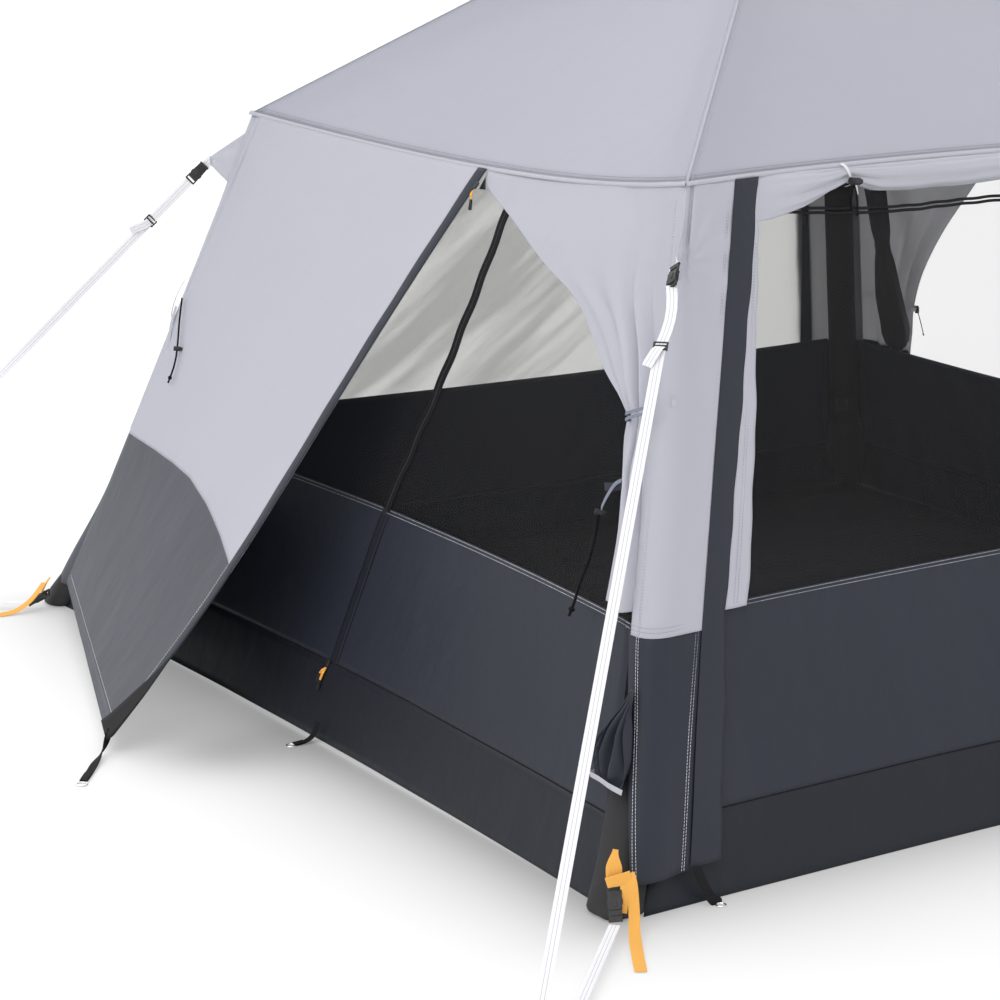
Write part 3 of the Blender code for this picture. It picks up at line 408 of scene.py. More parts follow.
@dataclass(frozen=True)
class Cloth:
    """Woven and coated tent cloth."""

    name: str
    colour: Colour
    shade: float
    roughness: float = 0.62
    specular: float = 0.35
    crease: float = 0.0022
    weave: float = 0.00012
    glow: float = 0.0
    through: Colour = (0.97, 0.97, 0.95)
    # How dark the painted fold shade in the light through the cloth is.
    fold_shade_depth: float = 0.0

    def painted_fold_shade(self, tree: Tree) -> bpy.types.NodeSocket:
        """The colour of light through the cloth, with painted shade: slanting darker bands for folds, kept
        towards -X where the flap and the roll shade the wall, fading to an even, slightly lighter colour
        towards +X.
        """
        place, parts = tree.add("TexCoord"), tree.add("SeparateXYZ")
        tree.link(place.outputs["Object"], parts.inputs[0])
        slant = tree.add("Mapping", {"Rotation": (0.0, math.radians(48.0), 0.0), "Scale": (0.11, 1.0, 0.9)},
                         vector_type="TEXTURE")
        tree.link(place.outputs["Object"], slant.inputs["Vector"])
        folds = tree.add("TexNoise", {"Scale": 1.0, "Detail": 3.0, "Roughness": 0.55})
        tree.link(slant.outputs["Vector"], folds.inputs["Vector"])
        sharp = tree.add("MapRange", {"From Min": 0.40, "From Max": 0.58})
        tree.link(folds.outputs["Fac"], sharp.inputs["Value"])
        across = tree.add("MapRange", {"From Min": 0.1, "From Max": 1.0})
        tree.link(parts.outputs["X"], across.inputs["Value"])
        # Painted shade: slanting darker bands in the light through the cloth, fading out towards +X.
        shaded = tuple(c * (1 - self.fold_shade_depth) for c in self.through)
        less_shaded = tuple(c * 0.965 for c in self.through)
        banded_shade = tree.blend(sharp.outputs[0], shaded, self.through)
        return tree.blend(across.outputs[0], banded_shade, less_shaded)

    def build(self) -> bpy.types.Material:
        """Make the material.

        Returns:
            Cloth with a fine weave, soft packing creases and a slight colour variation.
        """
        tree = Tree(self.name)
        wide = tree.noise(1.7, 2.0)
        crease = tree.noise(5.0, 4.0, (1.0, 1.0, 0.45))
        fine = tree.noise(420.0, 2.0)
        darker = tuple(c * (1 - self.shade) for c in self.colour)
        lighter = tuple(c * (1 + self.shade) for c in self.colour)
        colour = tree.blend(wide, darker, lighter)
        colour = tree.blend(tree.math("MULTIPLY", fine, 0.18), colour, darker)
        tree.link(colour, tree.shader.inputs["Base Color"])
        tree.bump([(crease, self.crease * 10), (fine, self.weave)])
        tree.surface(self.roughness, 0.0, self.specular)
        if self.glow > 0:
            through = tree.add("BsdfTranslucent", {"Color": (*self.through, 1.0)})
            # Painted fold shade in the light through the cloth.
            if self.fold_shade_depth > 0:
                tree.link(self.painted_fold_shade(tree), through.inputs["Color"])
            both = tree.add("MixShader", {"Fac": self.glow})
            tree.link(tree.shader.outputs[0], both.inputs[1])
            tree.link(through.outputs[0], both.inputs[2])
            tree.link(both.outputs[0], tree.output.inputs["Surface"])
        return tree.material


@dataclass(frozen=True)
class Netting:
    """Fine insect mesh, seen as a dark veil."""

    name: str
    colour: Colour = (0.055, 0.055, 0.058)
    cover: float = 0.22
    thread_scale: float = 900.0

    def build(self) -> bpy.types.Material:
        """Make the material.

        Returns:
            A see-through dark mesh whose threads vary its cover.
        """
        tree = Tree(self.name)
        thread = tree.noise(self.thread_scale, 1.0)
        cloud = tree.noise(3.0, 3.0)
        cover = tree.math("MULTIPLY_ADD", thread, 0.06)
        cover.node.inputs[2].default_value = self.cover - 0.03
        cover = tree.math("ADD", cover, tree.math("MULTIPLY", cloud, 0.02))
        tree.link(cover, tree.shader.inputs["Alpha"])
        tree.shader.inputs["Base Color"].default_value = (*self.colour, 1.0)
        tree.surface(0.9, 0.0, 0.1)
        return tree.material


@dataclass(frozen=True)
class Webbing:
    """Woven webbing, ribbed along its length, with stripes across its width."""

    name: str
    colour: Colour
    stripe: Colour
    stripes: tuple[float, ...] = ()
    stripe_half: float = 0.05
    rib: float = 0.0016
    depth: float = 0.00008
    roughness: float = 0.75

    def build(self) -> bpy.types.Material:
        """Make the material.

        Returns:
            Webbing whose pattern follows the piece's own UV map: u across, v along in metres.
        """
        tree = Tree(self.name)
        place = tree.add("UVMap", uv_map="UVMap")
        parts = tree.add("SeparateXYZ")
        tree.link(place.outputs[0], parts.inputs[0])
        across, along = parts.outputs[0], parts.outputs[1]
        ribs = tree.math("SINE", tree.math("MULTIPLY", along, 2 * math.pi / self.rib), 0.0)
        cords = tree.math("SINE", tree.math("MULTIPLY", across, 2 * math.pi * 9), 0.0)
        relief = tree.math("ADD", ribs, cords)
        darker = tuple(c * 0.82 for c in self.colour)
        colour = tree.blend(tree.math("MULTIPLY_ADD", relief, 0.2), self.colour, darker)
        colour.node.inputs[0].links[0].from_node.inputs[2].default_value = 0.5
        for middle in self.stripes:
            off = tree.math("ABSOLUTE", tree.math("SUBTRACT", across, middle), 0.0)
            colour = tree.blend(tree.math("LESS_THAN", off, self.stripe_half), colour, self.stripe)
        tree.link(colour, tree.shader.inputs["Base Color"])
        tree.bump([(relief, self.depth)])
        tree.surface(self.roughness, 0.0, 0.12)
        return tree.material


@dataclass(frozen=True)
class Solid:
    """Moulded plastic, metal, film or thread."""

    name: str
    colour: Colour
    roughness: float
    metallic: float = 0.0
    grain: float = 900.0
    depth: float = 0.00005
    wear: float = 0.12
    specular: float = 0.5

    def build(self) -> bpy.types.Material:
        """Make the material.

        Returns:
            A surface with fine grain and slight wear in its colour and gloss.
        """
        tree = Tree(self.name)
        grain = tree.noise(self.grain, 2.0)
        patch = tree.noise(45.0, 3.0)
        worn = tuple(c + (1 - c) * self.wear * 0.3 for c in self.colour)
        tree.link(tree.blend(patch, self.colour, worn), tree.shader.inputs["Base Color"])
        tree.surface(self.roughness, self.metallic, self.specular)
        rough = tree.math("MULTIPLY_ADD", patch, 0.12)
        rough.node.inputs[2].default_value = self.roughness - 0.06
        tree.link(rough, tree.shader.inputs["Roughness"])
        tree.bump([(grain, self.depth)])
        return tree.material


class Finishes:
    """Every finish of the tent, made once."""

    def __init__(self) -> None:
        pale = {"shade": 0.02, "specular": 0.15, "crease": 0.0010, "weave": 0.0001}
        self.light = Cloth("light_cloth", (0.525, 0.528, 0.596), glow=0.30, **pale).build()
        # A darker copy of the light cloth: painted shade on the roof, its hip welts and peak patch, and the
        # gussets under the eaves.
        self.roof = Cloth("roof_cloth", (0.462, 0.469, 0.540), glow=0.34, **pale).build()
        # A lighter and more see-through copy of the light cloth, so the rear wall seen from inside looks lit
        # from behind: its lighter colour is painted light, and its last number sets the painted fold shade in
        # the light through it.
        self.rear = Cloth("rear_light_cloth", (0.72, 0.72, 0.76), 0.02, 0.70, 0.10, 0.0025, 0.0001, 0.84,
                          (0.89, 0.89, 0.875), 0.19).build()
        self.dark = Cloth("charcoal_cloth", (0.0210, 0.0245, 0.0360), 0.10, 0.48, 0.25, 0.0012).build()
        self.skirt = Cloth("skirt_cloth", (0.0135, 0.0158, 0.0225), 0.16, 0.50, 0.22, 0.0012).build()
        # A lighter copy of the charcoal cloth: painted light on the flap's charcoal part and hem, and on the
        # rear left cover's charcoal part.
        self.flap_dark = Cloth("charcoal_flap_cloth", (0.061, 0.065, 0.081), 0.12, 0.55, 0.25, 0.0010).build()
        self.boot = Cloth("boot_cloth", (0.028, 0.028, 0.030), 0.10, 0.62, 0.2, 0.0016).build()
        self.strip = Cloth("zip_cover_cloth", (0.027, 0.030, 0.041), 0.06, 0.60, 0.22).build()
        self.inside = Cloth("inside_dark_cloth", (0.022, 0.022, 0.024), 0.10, 0.80, 0.12).build()
        self.net = Netting("insect_mesh", cover=0.12).build()
        self.rear_net = Netting("rear_insect_mesh", cover=0.06).build()
        grey = (0.3, 0.3, 0.3)
        stripes = (0.34, 0.66)
        self.strap = Webbing("white_webbing", (0.84, 0.84, 0.87), (0.42, 0.42, 0.46), stripes, 0.022).build()
        self.orange = Webbing("orange_webbing", (0.86, 0.44, 0.10), (0.6, 0.3, 0.07)).build()
        self.black_webbing = Webbing("black_webbing", (0.014, 0.014, 0.016), (0.02, 0.02, 0.02)).build()
        self.tie_tape = Webbing("tie_tape", (0.24, 0.26, 0.32), grey).build()
        self.tape = Webbing("grey_tape", (0.50, 0.51, 0.56), grey).build()
        self.plastic = Solid("black_plastic", (0.009, 0.009, 0.010), 0.46, specular=0.28).build()
        self.steel = Solid("plated_steel", (0.72, 0.72, 0.73), 0.26, 1.0, 300.0).build()
        self.film = Solid("bladder_film", (0.30, 0.32, 0.35), 0.35).build()
        braid = {"grain": 1400.0, "depth": 0.0003}
        black = (0.005, 0.005, 0.006)
        self.cord = Solid("black_cord", black, 0.85, wear=0.03, specular=0.08, **braid).build()
        self.orange_cord = Solid("orange_cord", (0.90, 0.40, 0.05), 0.6, **braid).build()
        spun = {"grain": 800.0, "wear": 0.1}
        self.thread = Solid("light_thread", (0.56, 0.57, 0.61), 0.7, specular=0.2, **spun).build()
        self.dark_thread = Solid("charcoal_thread", (0.030, 0.031, 0.036), 0.8, specular=0.1, **spun).build()
        self.soft_thread = Solid("lavender_thread", (0.39, 0.40, 0.455), 0.8, specular=0.1, **spun).build()


@dataclass
class Assembly:
    """A group of pieces that are made together, from the tent's finishes."""

    finish: Finishes


def add_piece(
    name: str,
    mesh: bpy.types.Mesh,
    finish: bpy.types.Material,
    slot: str,
    replaces: Sequence[str] = (),
    body: str = "tent",
    angle: float = 50.0,
) -> bpy.types.Object:
    """Put a finished mesh into the scene, riding on its body.

    Args:
        name: The piece's name.
        mesh: Its mesh, in the tent's frame.
        finish: Its material.
        slot: The record's material slot; not used.
        replaces: CAD nodes that it stands for.
        body: The CAD body that carries it.
        angle: Edges sharper than this, in degrees, stay sharp.

    Returns:
        The piece's object.
    """
    mesh.materials.clear()
    mesh.materials.append(finish)
    mesh.shade_smooth()
    mesh.set_sharp_from_angle(angle=math.radians(angle))
    made = bpy.data.objects.new(name, mesh)
    bpy.context.scene.collection.objects.link(made)
    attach(made, body)
    if replaces:
        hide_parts(*replaces)
    LOG.info("%s: %d faces", name, len(mesh.polygons))
    return made


def grid_mesh(name: str, grid: Grid) -> bpy.types.Mesh:
    """A sheet's mesh from rows of points, with a UV map in metres.

    Args:
        name: The mesh's name.
        grid: Rows of points of equal length.

    Returns:
        The mesh.
    """
    rows, columns = len(grid), len(grid[0])
    points = [p for row in grid for p in row]
    faces = [
        (r * columns + c, r * columns + c + 1, (r + 1) * columns + c + 1, (r + 1) * columns + c)
        for r in range(rows - 1)
        for c in range(columns - 1)
    ]
    mesh = bpy.data.meshes.new(name)
    mesh.from_pydata(points, [], faces)
    layer = mesh.uv_layers.new(name="UVMap")
    middle_row, middle_column = grid[rows // 2], [row[columns // 2] for row in grid]
    us, vs = [0.0], [0.0]
    for a, b in zip(middle_row, middle_row[1:]):
        us.append(us[-1] + (b - a).length)
    for a, b in zip(middle_column, middle_column[1:]):
        vs.append(vs[-1] + (b - a).length)
    for loop in mesh.loops:
        r, c = divmod(loop.vertex_index, columns)
        layer.data[loop.index].uv = (us[c], vs[r])
    return mesh


def baked(bm: bmesh.types.BMesh, name: str) -> bpy.types.Mesh:
    """A finished mesh from one under construction, which is freed."""
    mesh = bpy.data.meshes.new(name)
    bm.to_mesh(mesh)
    bm.free()
    return mesh


def absorb(bm: bmesh.types.BMesh, mesh: bpy.types.Mesh) -> None:
    """Add a mesh to one under construction and drop it."""
    bm.from_mesh(mesh)
    bpy.data.meshes.remove(mesh)


def grid_of(rows: Sequence[float], columns: Sequence[float], point: Callable[[float, float], Vector]) -> Grid:
    """Rows of points, each found from its row's and its column's value."""
    return [[point(row, column) for column in columns] for row in rows]


def area_of(grid: Grid) -> float:
    """The area of a sheet given by rows of points, in square metres."""
    total = 0.0
    for upper, lower in zip(grid, grid[1:]):
        for c in range(len(upper) - 1):
            total += (upper[c + 1] - upper[c]).cross(lower[c] - upper[c]).length / 2
            total += (lower[c + 1] - upper[c + 1]).cross(lower[c + 1] - lower[c]).length / 2
    return total


def lined(piece: bpy.types.Object, thickness: float, offset: float = -1.0) -> None:
    """Give a sheet its thickness."""
    made = piece.modifiers.new("thickness", "SOLIDIFY")
    made.thickness = thickness
    made.offset = offset
    made.use_even_offset = False


def cut_of(grid: Grid) -> tuple[float, float, float]:
    """The width, length and area of the flat cut of a sheet given by rows of points."""
    middle = grid[len(grid) // 2]
    column = [row[len(row) // 2] for row in grid]
    width, length, area = length_of(middle), length_of(column), area_of(grid)
    grow = max(1.0, math.sqrt(area / (width * length)))
    width, length = math.ceil(width * grow * 1000) / 1000, math.ceil(length * grow * 1000) / 1000
    return width, length, min(max(area, 0.301 * width * length), width * length)


def declare(grid: Grid) -> None:
    """Work out the width, length and area of a sheet's flat cut from its grid; nothing is kept."""
    width, length, area = cut_of(grid)


def add_sheet(
    name: str,
    grid: Grid,
    finish: bpy.types.Material,
    slot: str,
    held: str,
    rests_on: Sequence[str],
    replaces: Sequence[str] = (),
    thickness: float = 0.0015,
    offset: float = -1.0,
) -> bpy.types.Object:
    """Args:
        name: The piece's name.
        grid: Rows of points, the outer side facing along rows crossed with columns.
        finish: Its material.
        slot: The record's material slot.
        held: How it is held; not used.
        rests_on: What it is sewn to, hangs from or lies on; not used.
        replaces: CAD nodes that it stands for.
        thickness: The cloth's thickness.
        offset: Which side of the grid the thickness lies on, from -1 to 1.

    Returns:
        The piece's object.
    """
    made = add_piece(name, grid_mesh(name, grid), finish, slot, replaces)
    lined(made, thickness, offset)
    declare(grid)
    return made


def resampled(points: Sequence[Vector], count: int, closed: bool = False) -> list[Vector]:
    """A smooth curve through points, at even steps of its length.

    Args:
        points: Points that it passes through.
        count: How many steps it has.
        closed: Whether it joins its own start.

    Returns:
        The curve's points.
    """
    known = [Vector(p) for p in points]
    if closed:
        known = known + known[:1]
    fine = [on_line(known, i / (len(known) * 12)) for i in range(len(known) * 12 + 1)]
    runs = [0.0]
    for a, b in zip(fine, fine[1:]):
        runs.append(runs[-1] + (b - a).length)
    made, k = [], 0
    for i in range(count + 1):
        want = runs[-1] * i / count
        while k < len(runs) - 2 and runs[k + 1] < want:
            k += 1
        span = max(runs[k + 1] - runs[k], 1e-9)
        made.append(fine[k].lerp(fine[k + 1], (want - runs[k]) / span))
    return made


def length_of(path: Sequence[Vector]) -> float:
    """The length of a line of points."""
    return sum((b - a).length for a, b in zip(path, path[1:]))


def swept(
    name: str,
    path: Sequence[Vector],
    section: Callable[[float], Table],
    side: Vector | Sequence[Vector],
    uvs: Sequence[float],
) -> bpy.types.Mesh:
    """A closed body swept along a path.

    Args:
        name: The mesh's name.
        path: Points of the path.
        section: Gives the section's points, along side and square to it, at a share of the path.
        side: The direction of the section's first axis, once or for each point.
        uvs: The across coordinate of each point of the section.

    Returns:
        The mesh, with a UV map: across, and metres along.
    """
    bm = bmesh.new()
    layer = bm.loops.layers.uv.new("UVMap")
    rings, alongs, run = [], [], 0.0
    last = len(path) - 1
    for i, point in enumerate(path):
        run += (point - path[i - 1]).length if i else 0.0
        alongs.append(run)
        ahead = (path[min(i + 1, last)] - path[max(i - 1, 0)]).normalized()
        wish = side if isinstance(side, Vector) else side[i]
        across = (wish - ahead * ahead.dot(wish)).normalized()
        up = ahead.cross(across)
        rings.append([bm.verts.new(point + across * x + up * y) for x, y in section(i / last)])
    count = len(rings[0])
    for i in range(last):
        for k in range(count):
            j = (k + 1) % count
            face = bm.faces.new((rings[i][k], rings[i + 1][k], rings[i + 1][j], rings[i][j]))
            ends = (uvs[k], uvs[k], uvs[j] if j else uvs[-1] * 2 - uvs[-2], uvs[j] if j else uvs[-1])
            for loop, u, v in zip(face.loops, ends, (alongs[i], alongs[i + 1], alongs[i + 1], alongs[i])):
                loop[layer].uv = (u, v)
    bm.faces.new(list(reversed(rings[0])))
    bm.faces.new(rings[-1])
    bmesh.ops.recalc_face_normals(bm, faces=bm.faces)
    return baked(bm, name)


def frames(path: Sequence[Vector], start: Vector) -> list[Vector]:
    """Side directions that turn as little as they can along a path."""
    sides, wish = [], start
    for i in range(len(path)):
        ahead = (path[min(i + 1, len(path) - 1)] - path[max(i - 1, 0)]).normalized()
        wish = (wish - ahead * ahead.dot(wish)).normalized()
        sides.append(wish)
    return sides


def round_section(radius: float, sides: int) -> list[tuple[float, float]]:
    """Points of a circle about the origin."""
    turns = [2 * math.pi * k / sides for k in range(sides)]
    return [(radius * math.cos(t), radius * math.sin(t)) for t in turns]


def tube(
    name: str,
    path: Sequence[Vector],
    radius: float | Callable[[float], float],
    sides: int = 10,
    start: Vector | None = None,
) -> bpy.types.Mesh:
    """A round body along a path.

    Args:
        name: The mesh's name.
        path: Points of its middle.
        radius: Its radius, or the radius at a share of the path.
        sides: How many sides its section has.
        start: A direction square to its start, for the section's first point.

    Returns:
        The mesh.
    """
    first = (path[1] - path[0]).normalized()
    side = start or (UP if abs(first.z) < 0.9 else Vector((1.0, 0.0, 0.0)))
    sized = radius if callable(radius) else lambda _: radius
    uvs = [k / sides for k in range(sides)]
    return swept(name, path, lambda t: round_section(sized(t), sides), frames(path, side), uvs)


def band(
    name: str,
    path: Sequence[Vector],
    side: Vector | Sequence[Vector],
    width: float | Callable[[float], float],
    thickness: float,
) -> bpy.types.Mesh:
    """Webbing or tape along a path, its edges rounded.

    Args:
        name: The mesh's name.
        path: Points of its middle.
        side: The direction of its width, once or for each point.
        width: Its width, or the width at a share of the path.
        thickness: Its thickness.

    Returns:
        The mesh, whose UV map runs from 0 to 1 across it.
    """
    places = (0.5, 0.5, 0.46, 0.25, 0.0, -0.25, -0.46, -0.5, -0.5, -0.46, -0.25, 0.0, 0.25, 0.46)
    heights = (-0.2, 0.2, 0.5, 0.5, 0.5, 0.5, 0.5, 0.2, -0.2, -0.5, -0.5, -0.5, -0.5, -0.5)
    sized = width if callable(width) else lambda _: width

    def section(share: float) -> list[tuple[float, float]]:
        return [(x * sized(share), y * thickness) for x, y in zip(places, heights)]

    return swept(name, path, section, side, [x + 0.5 for x in places])


def ribbon(
    name: str,
    points: Sequence[Sequence[float]],
    count: int,
    side: Sequence[float] | Sequence[Vector],
    size: tuple[float | Callable[[float], float], float],
    look: tuple[bpy.types.Material, str],
    replaces: Sequence[str] = (),
    body: str = "tent",
) -> bpy.types.Object:
    """Add a length of webbing or tape along a smooth curve.

    Args:
        name: The piece's name.
        points: Points that its middle passes through.
        count: How many steps it has.
        side: The direction of its width, once or for each step's end.
        size: Its width, or the width at a share of its length, and its thickness.
        look: Its material and its slot.
        replaces: CAD nodes that it stands for.
        body: The CAD body that carries it.

    Returns:
        The piece's object.
    """
    across = side if isinstance(side[0], Vector) else Vector(side)
    mesh = band(name, resampled(points, count), across, *size)
    return add_piece(name, mesh, *look, replaces, body)


def closed_rings(name: str, rings: Sequence[Sequence[Vector]]) -> bpy.types.Mesh:
    """A closed body through rings of points of equal count.

    Args:
        name: The mesh's name.
        rings: Rings of points, one after another.

    Returns:
        The mesh, its two ends filled.
    """
    bm = bmesh.new()
    loops = [[bm.verts.new(p) for p in ring] for ring in rings]
    count = len(loops[0])
    for a, b in zip(loops, loops[1:]):
        for k in range(count):
            j = (k + 1) % count
            bm.faces.new((a[k], b[k], b[j], a[j]))
    bm.faces.new(list(reversed(loops[0])))
    bm.faces.new(loops[-1])
    bmesh.ops.recalc_face_normals(bm, faces=bm.faces)
    return baked(bm, name)


def steps(count: int, low: float = 0.0, high: float = 1.0) -> list[float]:
    """Even steps from low to high, both included."""
    return [mix(low, high, i / count) for i in range(count + 1)]


def swell(point: Vector, scale: float, seed: float) -> float:
    """Smooth noise from -1 to 1 at a point."""
    return noise.noise(point * scale + Vector((seed, -seed, seed * 0.5)))


class Thread:
    """Rows of stitches along seams, made by one node tree."""

    pitch = 0.0085
    stitch = 0.0060
    radius = 0.00085
    sides = 4
    seed = 7
    scales = (0.92, 1.08)

    def __init__(self, finish: bpy.types.Material) -> None:
        self.finish = finish
        self.rows: list[list[Vector]] = []
        self.tree = self.grow()

    def grow(self) -> bpy.types.NodeTree:
        """Build the tree that turns lines into stitches.

        Returns:
            The tree, with inputs for pitch, stitch length, thread radius and seed.
        """
        tree = bpy.data.node_groups.new("stitches", "GeometryNodeTree")
        face = tree.interface
        face.new_socket("Geometry", in_out="INPUT", socket_type="NodeSocketGeometry")
        for name in ("Pitch", "Stitch Length", "Thread Radius"):
            face.new_socket(name, in_out="INPUT", socket_type="NodeSocketFloat")
        face.new_socket("Seed", in_out="INPUT", socket_type="NodeSocketInt")
        face.new_socket("Geometry", in_out="OUTPUT", socket_type="NodeSocketGeometry")
        add, link = tree.nodes.new, tree.links.new
        given, result = add("NodeGroupInput"), add("NodeGroupOutput")
        curve, even = add("GeometryNodeMeshToCurve"), add("GeometryNodeResampleCurve")
        even.mode = "LENGTH"
        bar, place = add("GeometryNodeMeshCylinder"), add("GeometryNodeInstanceOnPoints")
        bar.inputs["Vertices"].default_value = self.sides
        along, turn = add("GeometryNodeInputTangent"), add("FunctionNodeAlignRotationToVector")
        turn.axis = "Z"
        real, paint = add("GeometryNodeRealizeInstances"), add("GeometryNodeSetMaterial")
        paint.inputs["Material"].default_value = self.finish
        vary = add("FunctionNodeRandomValue")
        vary.inputs[2].default_value, vary.inputs[3].default_value = self.scales
        for source, key, target, into in (
            (given, "Geometry", curve, "Mesh"),
            (curve, "Curve", even, "Curve"),
            (given, "Pitch", even, "Length"),
            (even, "Curve", place, "Points"),
            (given, "Thread Radius", bar, "Radius"),
            (given, "Stitch Length", bar, "Depth"),
            (bar, "Mesh", place, "Instance"),
            (along, "Tangent", turn, "Vector"),
            (turn, "Rotation", place, "Rotation"),
            (given, "Seed", vary, "Seed"),
            (vary, 1, place, "Scale"),
            (place, "Instances", real, "Geometry"),
            (real, "Geometry", paint, "Geometry"),
            (paint, "Geometry", result, "Geometry"),
        ):
            link(source.outputs[key], target.inputs[into])
        return tree

    def row(self, points: Sequence[Vector]) -> None:
        """Keep one row of stitches for the next sewing."""
        self.rows.append([Vector(p) for p in points])

    def sew(self, name: str, slot: str) -> bpy.types.Object:
        """Turn the kept rows into one piece.

        Args:
            name: The piece's name.
            slot: The record's material slot.

        Returns:
            The piece's object.
        """
        points, edges = [], []
        for row in self.rows:
            first = len(points)
            points += row
            edges += [(first + i, first + i + 1) for i in range(len(row) - 1)]
        self.rows = []
        lines = bpy.data.meshes.new(name)
        lines.from_pydata(points, edges, [])
        source = bpy.data.objects.new(f"{name}_lines", lines)
        bpy.context.scene.collection.objects.link(source)
        made = source.modifiers.new("stitches", "NODES")
        made.node_group = self.tree
        known = {s.name: s.identifier for s in self.tree.interface.items_tree if s.in_out == "INPUT"}
        for key, value in (("Pitch", self.pitch), ("Stitch Length", self.stitch),
                           ("Thread Radius", self.radius), ("Seed", self.seed)):
            made[known[key]] = value
        view = bpy.context.evaluated_depsgraph_get()
        mesh = bpy.data.meshes.new_from_object(source.evaluated_get(view))
        source.modifiers.clear()
        bpy.data.objects.remove(source)
        return add_piece(name, mesh, self.finish, slot, angle=80.0)


@dataclass
class Canopy(Assembly):
    """The pyramid roof: four panels sewn along the hips."""

    columns: int = 56
    rows: int = 34
    wrinkle: float = 0.0035

    def point(self, face: Face, u: float, share: float) -> Vector:
        """A point of the roof with its wrinkles."""
        base = SHAPE.roof(face, u, share)
        calm = (1 - abs(u) ** 6) * smooth(share * 8) * (1 - smooth((share - 0.75) * 4))
        corner = SHAPE.eave(face, math.copysign(1.0, u))
        away = base - corner
        fan = math.atan2(away.z * 2, (away - UP * away.z).length)
        pull = math.exp(-away.length / 0.5) * math.sin(fan * 34 + 2.0 * face + away.length * 3)
        ripple = swell(base, 1.6, 3.0 + face) + 0.4 * swell(base, 4.5, 9.0)
        base.z += calm * self.wrinkle * (ripple * 1.6 + pull)
        return base

    def build(self) -> None:
        """Make the roof sheet, its four panels joined along the hips."""
        joined, total = bmesh.new(), 0.0
        for face in Face:
            grid = grid_of(steps(self.rows), steps(self.columns, -1.0, 1.0),
                           lambda share, u, side=face: self.point(side, u, share))
            total += area_of(grid)
            absorb(joined, grid_mesh("roof_part", grid))
        bmesh.ops.remove_doubles(joined, verts=joined.verts, dist=0.0003)
        bmesh.ops.dissolve_degenerate(joined, edges=joined.edges, dist=0.00005)
        bmesh.ops.recalc_face_normals(joined, faces=joined.faces)
        mesh = baked(joined, "roof_canopy")
        names = [f"{face.name.lower()}_roof_panel" for face in Face]
        # The roof takes the darker copy of the light cloth: painted shade.
        roof = add_piece("roof_canopy", mesh, self.finish.roof, "light_fabric", names, angle=80.0)
        lined(roof, 0.0016)


@dataclass
class CornerCover(Assembly):
    """The outer fabric wrapped round one air leg, light above and charcoal below."""

    corner: Corner
    left_reach: Table
    right_reach: Table
    upper: bool = True
    lower: str = "dark"
    band: float = 0.372
    hem: float = 0.052
    columns: int = 44
    rows: int = 60

    def point(self, distance: float, share: float, out: float = 0.0) -> Vector:
        """A point of the cover with its soft folds."""
        base = SHAPE.around(self.corner, distance, share, out)
        outward = turned((-0.7, -0.7, 0.0), self.corner)
        fold = math.exp(-((distance / 0.012) ** 2)) * smooth((share - 0.80) * 6)
        ripple = swell(Vector((distance * 2.2, share * 1.1, self.corner.value * 3.0)), 3.0, 1.0)
        valley = math.exp(-(((distance - 0.016) / 0.009) ** 2)) * smooth((share - 0.84) * 12)
        down, aside = (0.885 - share) * SHAPE.eave_z, distance - 0.012
        away = math.hypot(down, aside)
        fan = math.sin(11 * math.atan2(aside, down) + 0.8) * math.exp(-away / 0.20) * smooth(away / 0.05)
        pull = 0.005 * fan * smooth((distance - 0.008) / 0.03)
        return base + outward * (0.010 * fold - 0.016 * valley + pull + 0.003 * ripple)

    def sheet(self, low: float, high: float, rows: int, out: float) -> Grid:
        """Rows of the cover between two shares of its height."""
        grid = []
        for share in steps(rows, high, low):
            left, right = table(self.left_reach, share), table(self.right_reach, share)
            grid.append([self.point(d, share, out) for d in steps(self.columns, -left, right)])
        return grid

    def build(self) -> None:
        """Make the light and the charcoal part."""
        name = self.corner.name.lower()
        low = self.sheet(self.hem, self.band + 0.004, self.rows // 2, 0.002)
        if self.upper:
            high = self.sheet(self.band, 0.998, self.rows, 0.004)
            add_sheet(f"{name}_cover_upper", high, self.finish.light, "light_fabric", "stretched",
                      [f"{name}_pole_sleeve"], [f"{name}_corner_cover"])
        add_sheet(f"{name}_cover_lower", low, getattr(self.finish, self.lower), "dark_fabric", "stretched",
                  [f"{name}_pole_sleeve"])


